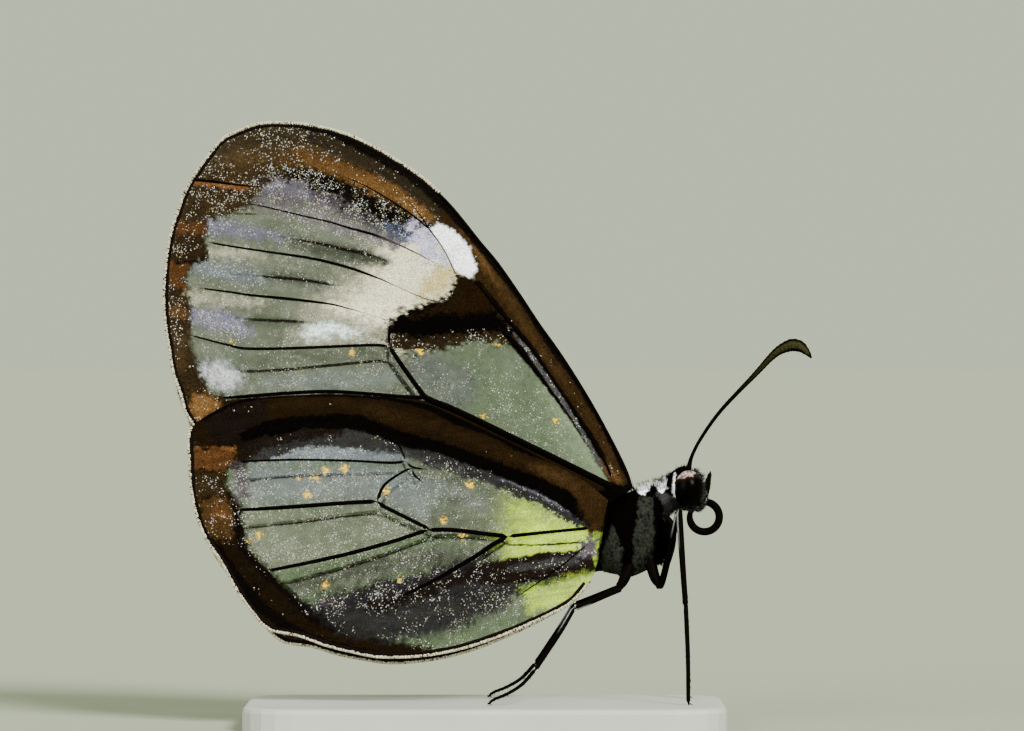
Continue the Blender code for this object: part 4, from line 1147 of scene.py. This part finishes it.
def body_hair(looks):
    """Short hair lying back along the body, upright in the collar, forward on face and chest."""
    rng = np.random.default_rng(5)
    patch = np.repeat(np.arange(len(HAIR_PATCHES)), [row[0] for row in HAIR_PATCHES])
    _, low, high, middle, half = (column[patch] for column in np.array(HAIR_PATCHES).T)
    share = low + (high - low) * rng.random(len(patch))
    turn = middle + half * rng.uniform(-1, 1, len(patch))
    points, normal, along = body_surface(share, turn)
    tint = paint_body(points)
    pale = tint.mean(1) > 0.3
    x = points[:, 0]
    in_eye = ((((x - EYE[0]) / 0.74) ** 2 + ((points[:, 2] - EYE[1]) / 0.96) ** 2 < 1)
              & (abs(points[:, 1]) > np.where(x > 10.6, 0.8, 0.3)))
    keep = ~in_eye & ((patch != COLLAR) | pale) & ((patch != FACE) | (x > 10.4))
    keep &= (patch != CHEST) | ((x > 7.4) & (normal[:, 0] > 0.3))
    keep &= (patch != NECK) | ((x > 8.3) & (normal[:, 2] < -0.1))
    points, normal, along, tint, share, turn, patch, pale, x = (
        v[keep] for v in (points, normal, along, tint, share, turn, patch, pale, x))
    count = len(points)
    head, front, chest, neck = x > 9.3, x > 10.42, patch == CHEST, (patch == NECK) & (x < 9.9)
    under = (x > 8.55) & (normal[:, 2] < -0.25) & ~front & ~chest & ~neck
    crown = (normal[:, 2] > 0.6) & (x > 6.4)
    collar = pale & ~head & crown
    length = settings().hair_length / MM * rng.uniform(0.4, 1.0, count) * 0.6
    length *= np.where(crown & ~head, 1.3, 1.0) * np.where(crown & (x < 7.5), 2.6, 1.0)
    length *= np.where(collar, np.where(x > 8.35, 3.4, 2.2), 1.0)
    length *= np.where(front, np.where(normal[:, 2] > 0.3, 1.6, 3.8), 1.0)
    length *= np.where(under, 2.3, np.where(head & pale, 0.6, 1.0))
    length *= np.where(neck, 4.5, np.where(chest, np.where(x > 8.7, 4.0, 2.3), 1.0))
    bristle = crown & (rng.random(count) < np.where(head, 0.06, 0.2))
    length = np.where(bristle, length * np.where(collar, 1.4, 2.6), length)
    lie = -along * np.where(crown, 0.25, 1.0)[:, None] + (0, 0, 1) * crown[:, None]
    lie[under] = (along * 0.8 + normal * 0.8 - (0, 0, 0.15))[under]
    lie[front] = ((1, 0, -0.1) + normal * 0.35)[front]
    lie[chest] = (normal * 0.9 - along * 0.3)[chest]
    lie[neck] = (normal * 0.7 + (0.25, 0, -0.5))[neck]
    lie /= np.linalg.norm(lie, axis=1)[:, None]
    colours = tint * rng.uniform(0.5, 1.8, count)[:, None]
    colours[pale] = (tint * rng.uniform(0.9, 1.3, count)[:, None])[pale]
    fluff = rng.uniform(0.2, 1.8, count)[:, None]
    colours[front] = (shade("moss", 1.5) * fluff)[front]
    colours[neck] = (shade("smoke", 0.8) * fluff)[neck]
    grey = (front | (under & (x > 9.6))) & (rng.random(count) < 0.07)
    colours[grey] = shade("lilac", 0.3)
    colours[bristle] = shade("black", 2.0)
    return hair_blades("body_hair", points - normal * 0.03, lie, normal, length, 0.012,
                       np.minimum(colours, 0.95), np.column_stack([share, (turn / math.tau) % 1]),
                       looks, 6)


def eye_dome(side, looks):
    """An oval dome: centre + half sizes * (cos a cos b, sin b, sin a cos b), flatter above."""
    a = np.linspace(0, math.tau, 72, endpoint=False)[None]
    b = np.concatenate([[-1.2, -0.9], np.linspace(-0.6, math.pi / 2 - 0.02, 40)])[:, None]
    x = EYE[0] + EYE_SIZE[0] * np.cos(a) * np.cos(b)
    y = side * (0.53 + 0.72 * np.sin(b))
    z = EYE[1] + (EYE_SIZE[1] - 0.03 * np.sin(a)) * np.sin(a) * np.cos(b)
    rows = np.stack(np.broadcast_arrays(x, y, z), axis=-1)
    points, faces = join_sweeps([rows[:, ::-side]])
    piece = new_piece(f"eye_{side_word(side)}_dome", points, faces, looks)
    chart = to_chart(points[:, 0], points[:, 2])
    tint = np.tile(shade("black", 0.2), (len(points), 1))
    # Paints the sky's reflection onto the eye's top, its crescent mottled by ripples.
    for name, gain, soft, rough, shape in EYE_REFLECTION_MARKS:
        mask = coat_mask(chart, shape, soft, rough, 60)
        if name == "eye_sky_reflection":
            mask = mask * np.clip(0.6 + 0.7 * ripple(chart, 1.4, 61), 0.05, 1.3)
        tint += (shade(name, gain) - tint) * mask[:, None]
    set_colours(piece, tint)
    return piece


def on_side(flat, out, side):
    """Points of a limb on a side; left ones reach forward by lean * out * (along - start)."""
    ahead = LEAN * out * (flat[:, 0] - LEAN_START) * (side == LEFT)
    return np.stack([flat[:, 0] + ahead, side * out, flat[:, 1]], axis=1)


def limb_sweep(rows, side, count, flat=1.0, swell=1.0):
    """Rings along rows of chart x, y, out in millimetres and half width in chart units."""
    path = even_curve(np.asarray(rows, float) * (1, 1, 20, 1), count)
    centre = on_side(from_chart(path[:, :2]), path[:, 2] / 20, side)
    return tube(centre, path[:, 3] * CHART_STEP * swell, LIMB_SIDES, flat)


# Limbs: rows of chart x, y, out in millimetres and half width.
ANTENNA = [
    (689, 473, 0.32, 3.0), (690, 464, 0.45, 2.3), (692, 457, 0.52, 1.8), (695, 450, 0.6, 1.7),
    (700, 440.5, 0.72, 1.7), (711, 423.5, 0.95, 1.75), (723, 408, 1.25, 1.85),
    (740, 389.5, 1.65, 2.1), (750, 379, 1.9, 2.5), (760, 368, 2.15, 3.0), (768, 359, 2.38, 3.5),
    (776, 351.5, 2.6, 4.4), (784, 347, 2.78, 5.5), (791, 345, 2.93, 6.2), (798, 346.5, 3.08, 5.6),
    (803, 350.5, 3.18, 3.9), (807, 355, 3.24, 2.1), (809, 358, 3.27, 0.8),
]
PALP = [
    (696, 503.5, 0.42, 2.5), (702, 501, 0.45, 3.2), (705.8, 494, 0.46, 3.2),
    (707.6, 486, 0.44, 2.9), (709, 479.5, 0.4, 1.9), (710.4, 474.5, 0.37, 1.2),
    (711, 471.5, 0.36, 0.4),
]
COIL = (705.0, 517.5, 15.2)  # chart x, y and radius


def antenna(side, looks):
    """A thin jointed shaft and a flat-sided club; each joint is a small swelling of the radius."""
    way = np.linspace(0, 1, FEELER_RINGS)
    joint = 1 + 0.035 * np.cos(math.tau * FEELER_JOINTS * way)
    points, faces = join_sweeps([limb_sweep(ANTENNA, side, FEELER_RINGS, 0.85, joint)])
    piece = new_piece(f"antenna_{side_word(side)}_shaft", points, faces, looks)
    club = np.clip((way - 0.5) / 0.3, 0, 1) * np.clip((0.985 - way) / 0.02, 0, 1)
    facing = np.abs(np.cos(np.linspace(0, math.tau, LIMB_SIDES, endpoint=False)))
    band = club[:, None] * np.clip((facing - 0.72) / 0.2, 0, 1)[None]
    tint = np.zeros((FEELER_RINGS, LIMB_SIDES, 3)) + shade("black", 0.8)
    tint += band[..., None] * (shade("olive") - tint)
    set_colours(piece, tint)
    return piece


def palp(side, looks):
    """A small upturned finger in front of the face."""
    points, faces = join_sweeps([limb_sweep(PALP, side, PALP_RINGS)])
    piece = new_piece(f"palp_{side_word(side)}_finger", points, faces, looks)
    set_colours(piece, np.tile(shade("black", 0.8), (len(points), 1)))
    return piece


def palp_hair(side, looks):
    """Bristles over a palp, the lower ones white."""
    rng = np.random.default_rng(31)
    rings = limb_sweep(PALP, side, PALP_RINGS)
    middle = rings.mean(1)
    along = np.gradient(middle, axis=0)
    along /= np.linalg.norm(along, axis=1)[:, None]
    i, j = rng.integers(4, 52, PALP_HAIRS), rng.integers(0, LIMB_SIDES, PALP_HAIRS)
    normal = rings[i, j] - middle[i]
    normal /= np.linalg.norm(normal, axis=1)[:, None]
    pale = (i < 26) & (rng.random(PALP_HAIRS) < 0.2)
    tint = np.where(pale[:, None], shade("white", 0.5), shade("black", 2.0))
    return hair_blades(f"palp_{side_word(side)}_hair", rings[i, j] - normal * 0.02, along[i],
                       normal, rng.uniform(0.08, 0.22, PALP_HAIRS), 0.009, tint,
                       np.column_stack([i / PALP_RINGS, j / LIMB_SIDES]), looks, 32)


def tongue(looks):
    """The coiled tongue: a circle of one turn less a gap, thinning to its inner end."""
    turn = np.radians(np.linspace(96, -210, TONGUE_RINGS))
    reach = COIL[2] + np.linspace(0, -0.6, TONGUE_RINGS)
    chart = np.stack([COIL[0] + reach * np.cos(turn), COIL[1] - reach * np.sin(turn)], axis=1)
    flat = from_chart(np.vstack([[(700, 497), (703, 500)], chart]))
    centre = np.stack([flat[:, 0], np.zeros(len(flat)), flat[:, 1]], axis=1)
    at = np.arange(len(flat))
    ridges = 1 + 0.035 * np.cos(at * 1.9)
    radius = np.interp(at, [0, 30, 180, 221], [0.17, 0.2, 0.19, 0.12]) * ridges
    points, faces = join_sweeps([tube(centre, radius, 18)])
    piece = new_piece("tongue_coil", points, faces, looks)
    set_colours(piece, np.tile(shade("black", 0.8), (len(points), 1)))
    return piece


# A leg's lengths from the body to the foot, in the same rows.
LEGS = {
    "foreleg": [[(652, 512, 0.7, 3), (668, 520, 0.88, 3), (673.5, 532, 0.95, 2.8),
                 (673, 545, 0.95, 2.6), (670, 558, 0.92, 2.2), (668, 566, 0.9, 1.0)]],
    "midleg": [
        [(650, 560, 0.6, 6), (655, 578, 0.95, 5), (661, 587, 1.15, 3)],
        [(657, 588, 1.05, 3.4), (662, 582, 1.2, 3.3), (670, 548, 1.85, 3.0),
         (677.5, 511, 2.45, 2.7)],
        [(678.4, 508.5, 2.45, 3.0), (679.5, 530, 2.55, 3.2), (682, 570, 2.72, 2.9),
         (684.5, 606, 2.85, 2.6)],
        [(684.5, 604, 2.84, 2.3), (685.5, 625, 2.9, 2.3), (686.8, 660, 2.96, 2.2),
         (687, 694, 3.0, 2.0), (687.4, 702.5, 3.0, 1.6)],
    ],
    "hindleg": [
        [(632, 560, 0.6, 6), (624, 580, 0.9, 5), (618, 589, 1.05, 3)],
        [(622, 588, 0.98, 3.4), (612, 592, 1.25, 3.2), (590, 601, 2.1, 2.8),
         (575, 607, 2.65, 2.4)],
        [(574, 606, 2.65, 2.3), (560, 630, 2.78, 2.5), (535, 668, 2.95, 2.2)],
        [(535.5, 667, 2.95, 1.9), (522, 682, 3.05, 1.8), (508, 691, 3.13, 1.6),
         (494, 697, 3.2, 1.4), (488, 702, 3.22, 0.9)],
    ],
}


def leg(name, side, looks):
    """Lengths of a leg as tapered sweeps, with a pale line on both sides of the knee: white scales
    with a painted highlight.

    Spurs stand on the shin and the foot, which ends in a pair of claws.
    """
    sweeps, tints = [], []
    rng = np.random.default_rng(len(name))
    dark = shade("black", 0.9)
    step = np.arange(LEG_RINGS)
    turn = np.linspace(0, math.tau, LIMB_SIDES, endpoint=False)
    for k, rows in enumerate(LEGS[name]):
        knuckle = 1 + 0.1 * np.exp(-((step - LEG_RINGS + 4) / 3.0) ** 2)
        rings = limb_sweep(rows, side, LEG_RINGS)
        centre = rings.mean(1, keepdims=True)
        end = np.clip(np.minimum(step, step[::-1]) / 3.0, 0.45, 1)
        rings = centre + (rings - centre) * (knuckle * end)[:, None, None]
        sweeps.append(rings)
        tint = np.zeros((LEG_RINGS, LIMB_SIDES, 3)) + dark
        if k in (1, 2):
            # White scales with a painted highlight, at the same turn on the right and left legs.
            highlight_turn = 2.2 if k == 1 else 4.1
            scale_and_highlight_stripe = np.clip(1 - np.abs(np.angle(np.exp(1j * (turn - highlight_turn)))) / 0.42, 0, 1)
            length = np.clip((step - 46) / 14, 0, 1) if k == 1 else np.clip((30 - step) / 18, 0, 1)
            tint += (scale_and_highlight_stripe[None] * length[:, None])[..., None] * (shade("white", 0.4) - dark)
        tints.append(tint.reshape(-1, 3))
        for i in rng.integers(8, LEG_RINGS - 6, (0, 0, 16, 26)[k]):
            out = rings[i, rng.integers(0, LIMB_SIDES)] - centre[i, 0]
            out /= np.linalg.norm(out)
            along = centre[min(i + 2, LEG_RINGS - 1), 0] - centre[i, 0]
            along /= max(np.linalg.norm(along), 1e-6)
            spur = centre[i, 0] + out * 0.05 + (out * 0.11 + along * 0.16) * np.linspace(
                0, 1, 4)[:, None]
            sweeps.append(tube(spur, (0.018, 0.015, 0.01, 0.003), 5, 1.0, (0.3, 0.9, 0.2)))
            tints.append(np.tile(dark, (20, 1)))
    if len(LEGS[name]) > 1:
        x, y, out, _ = LEGS[name][-1][-1]
        foot = on_side(from_chart([(x, y)]), np.array([out]), side)[0]
        for way in (-1, 1):
            claw = foot + np.array([[0, 0, 0.06], [0.12, way * 0.09, 0.04],
                                    [0.2, way * 0.13, -0.02]])
            claw[:, 2] = np.maximum(claw[:, 2], CLAW_FLOOR)
            sweeps.append(tube(even_curve(claw, 8), np.linspace(0.045, 0.008, 8), 6, 1.0,
                               (0, 0.2, 1)))
            tints.append(np.tile(dark, (48, 1)))
    points, faces = join_sweeps(sweeps)
    piece = new_piece(f"{name}_{side_word(side)}_limb", points, faces, looks)
    set_colours(piece, np.vstack(tints))
    return piece


def hold(piece, slot, *nodes):
    """Rides a piece on the one body and hides the nodes that it stands for; slot is not used."""
    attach(piece, "root")
    if nodes:
        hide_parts(*nodes)


# Operators

class CLEARWING_OT_stage(bpy.types.Operator):
    """Adds the floor, two soft lamps and the camera"""

    bl_idname = "clearwing.stage"
    bl_label = "Stage"

    def execute(self, context):
        s = settings()
        corners = FLOOR_SIZE * np.array([(-1, -1, 0), (1, -1, 0), (1, 1, 0), (-1, 1, 0)])
        paint = mottled_material("pale_floor", np.array(s.floor) * 0.985, np.array(s.floor), 300,
                                 60, 0.9)
        new_piece("floor", corners, np.array([[0, 1, 2, 3]]), paint, False)
        world = bpy.data.worlds.new("studio")
        world.use_nodes = True
        back = world.node_tree.nodes["Background"]
        back.inputs["Color"].default_value = (*s.backdrop, 1)
        context.scene.world = world
        for name, (x, y, z), power, width in LAMPS:
            light = bpy.data.lights.new(name, "SUN")
            light.energy = power * s.lamp_strength
            light.angle = math.radians(width)
            lamp = bpy.data.objects.new(name, light)
            context.scene.collection.objects.link(lamp)
            lamp.rotation_euler = (math.atan2(math.hypot(x, y), z), 0, math.atan2(x, -y))
        camera = bpy.data.cameras.new("camera")
        camera.lens = s.lens
        camera.sensor_width = SENSOR
        camera.clip_start = 0.01
        camera.clip_end = 100.0
        holder = bpy.data.objects.new("camera", camera)
        context.scene.collection.objects.link(holder)
        reach = PICTURE[0] * CHART_STEP * s.lens / SENSOR
        middle = from_chart(np.array(PICTURE) / 2)
        holder.location = (middle[0] * MM, -(reach + 1.0) * MM, middle[1] * MM)
        holder.rotation_euler = (math.pi / 2, 0, 0)
        context.scene.camera = holder
        return {"FINISHED"}


class CLEARWING_OT_wings(bpy.types.Operator):
    """Builds the four wings: membranes, veins and fringes"""

    bl_idname = "clearwing.wings"
    bl_label = "Wings"

    def execute(self, context):
        skin = scaled_wing_material()
        ridge = painted_material("vein_scales", 0.5, 14000, 0.6, 1.5, 0.4, 0.005)
        edge = painted_material("fringe_scales", 0.6, 20000, 0.8, 1.25, 0.2)
        for wing in ("fore", "hind"):
            for side, sheet in zip((RIGHT, LEFT), membranes(wing, skin)):
                hold(sheet, "wing", f"{wing}wing_{side_word(side)}")
                hold(vein_ridges(wing, side, ridge), "wing")
                hold(fringe(wing, side, edge), "wing")
        return {"FINISHED"}


class CLEARWING_OT_body(bpy.types.Operator):
    """Builds the body's skin and its hair"""

    bl_idname = "clearwing.body"
    bl_label = "Body"

    def execute(self, context):
        skin = painted_material("body_scales", 0.6, 9000, 0.5, 1.7, 0.6, 0.004)
        hold(body_skin(skin), "body", "head", "thorax", "abdomen")
        hold(body_hair(painted_material("body_hairs", 0.5, 9000, 0.8, 1.3, 0.1)), "body")
        return {"FINISHED"}


class CLEARWING_OT_eyes(bpy.types.Operator):
    """Builds the two eyes"""

    bl_idname = "clearwing.eyes"
    bl_label = "Eyes"

    def execute(self, context):
        lens = painted_material("eye_lens", 0.25, 22000, 0.85, 1.2, 0.1, 0.02)
        for side in (RIGHT, LEFT):
            hold(eye_dome(side, lens), "eye", "eye_" + side_word(side))
        return {"FINISHED"}


class CLEARWING_OT_feelers(bpy.types.Operator):
    """Builds the two feelers"""

    bl_idname = "clearwing.feelers"
    bl_label = "Feelers"

    def execute(self, context):
        horn = painted_material("feeler_scales", 0.45, 12000, 0.6, 1.6, 0.4, 0.004)
        for side in (RIGHT, LEFT):
            hold(antenna(side, horn), "limb", "antenna_" + side_word(side))
        return {"FINISHED"}


class CLEARWING_OT_mouthparts(bpy.types.Operator):
    """Builds the palps with their bristles, and the coiled tongue"""

    bl_idname = "clearwing.mouthparts"
    bl_label = "Mouthparts"

    def execute(self, context):
        horn = painted_material("mouth_scales", 0.45, 12000, 0.6, 1.6, 0.4, 0.004)
        for side in (RIGHT, LEFT):
            hold(palp(side, horn), "limb", "palp_" + side_word(side))
            hold(palp_hair(side, horn), "limb")
        hold(tongue(horn), "limb", "proboscis")
        return {"FINISHED"}


class CLEARWING_OT_legs(bpy.types.Operator):
    """Builds the six legs"""

    bl_idname = "clearwing.legs"
    bl_label = "Legs"

    def execute(self, context):
        horn = painted_material("leg_scales", 0.45, 12000, 0.6, 1.6, 0.4, 0.006)
        for side in (RIGHT, LEFT):
            for name in LEGS:
                hold(leg(name, side, horn), "limb", f"{name}_{side_word(side)}")
        return {"FINISHED"}


class CLEARWING_OT_base(bpy.types.Operator):
    """Paints the plain base"""

    bl_idname = "clearwing.base"
    bl_label = "Base"

    def execute(self, context):
        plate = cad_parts["stand_base"]
        plate.material_slots[0].material = mottled_material(
            "pale_paint", (0.4, 0.4, 0.36), (0.46, 0.46, 0.42), 2500, 260, 0.6)
        return {"FINISHED"}


BUILDERS = ("stage", "wings", "body", "eyes", "feelers", "mouthparts", "legs", "base")


class CLEARWING_PT_panel(bpy.types.Panel):
    """Lists the builders and their settings"""

    bl_label = "Clearwing"
    bl_idname = "CLEARWING_PT_panel"
    bl_space_type = "VIEW_3D"
    bl_region_type = "UI"
    bl_category = "Clearwing"

    def draw(self, context):
        for name in BUILDERS:
            self.layout.operator("clearwing." + name)
        for name in ClearwingSettings.__annotations__:
            self.layout.prop(context.scene.clearwing, name)


CLASSES = (
    ClearwingSettings, CLEARWING_OT_stage, CLEARWING_OT_wings, CLEARWING_OT_body,
    CLEARWING_OT_eyes, CLEARWING_OT_feelers, CLEARWING_OT_mouthparts, CLEARWING_OT_legs,
    CLEARWING_OT_base, CLEARWING_PT_panel,
)


def register():
    """Adds the classes and the settings to Blender."""
    for cls in CLASSES:
        bpy.utils.register_class(cls)
    bpy.types.Scene.clearwing = bpy.props.PointerProperty(type=ClearwingSettings)


def unregister():
    """Takes the settings and the classes out again."""
    del bpy.types.Scene.clearwing
    for cls in reversed(CLASSES):
        bpy.utils.unregister_class(cls)


def main():
    """Runs every builder."""
    register()
    for name in BUILDERS:
        getattr(bpy.ops.clearwing, name)()


if __name__ == "__main__":
    main()
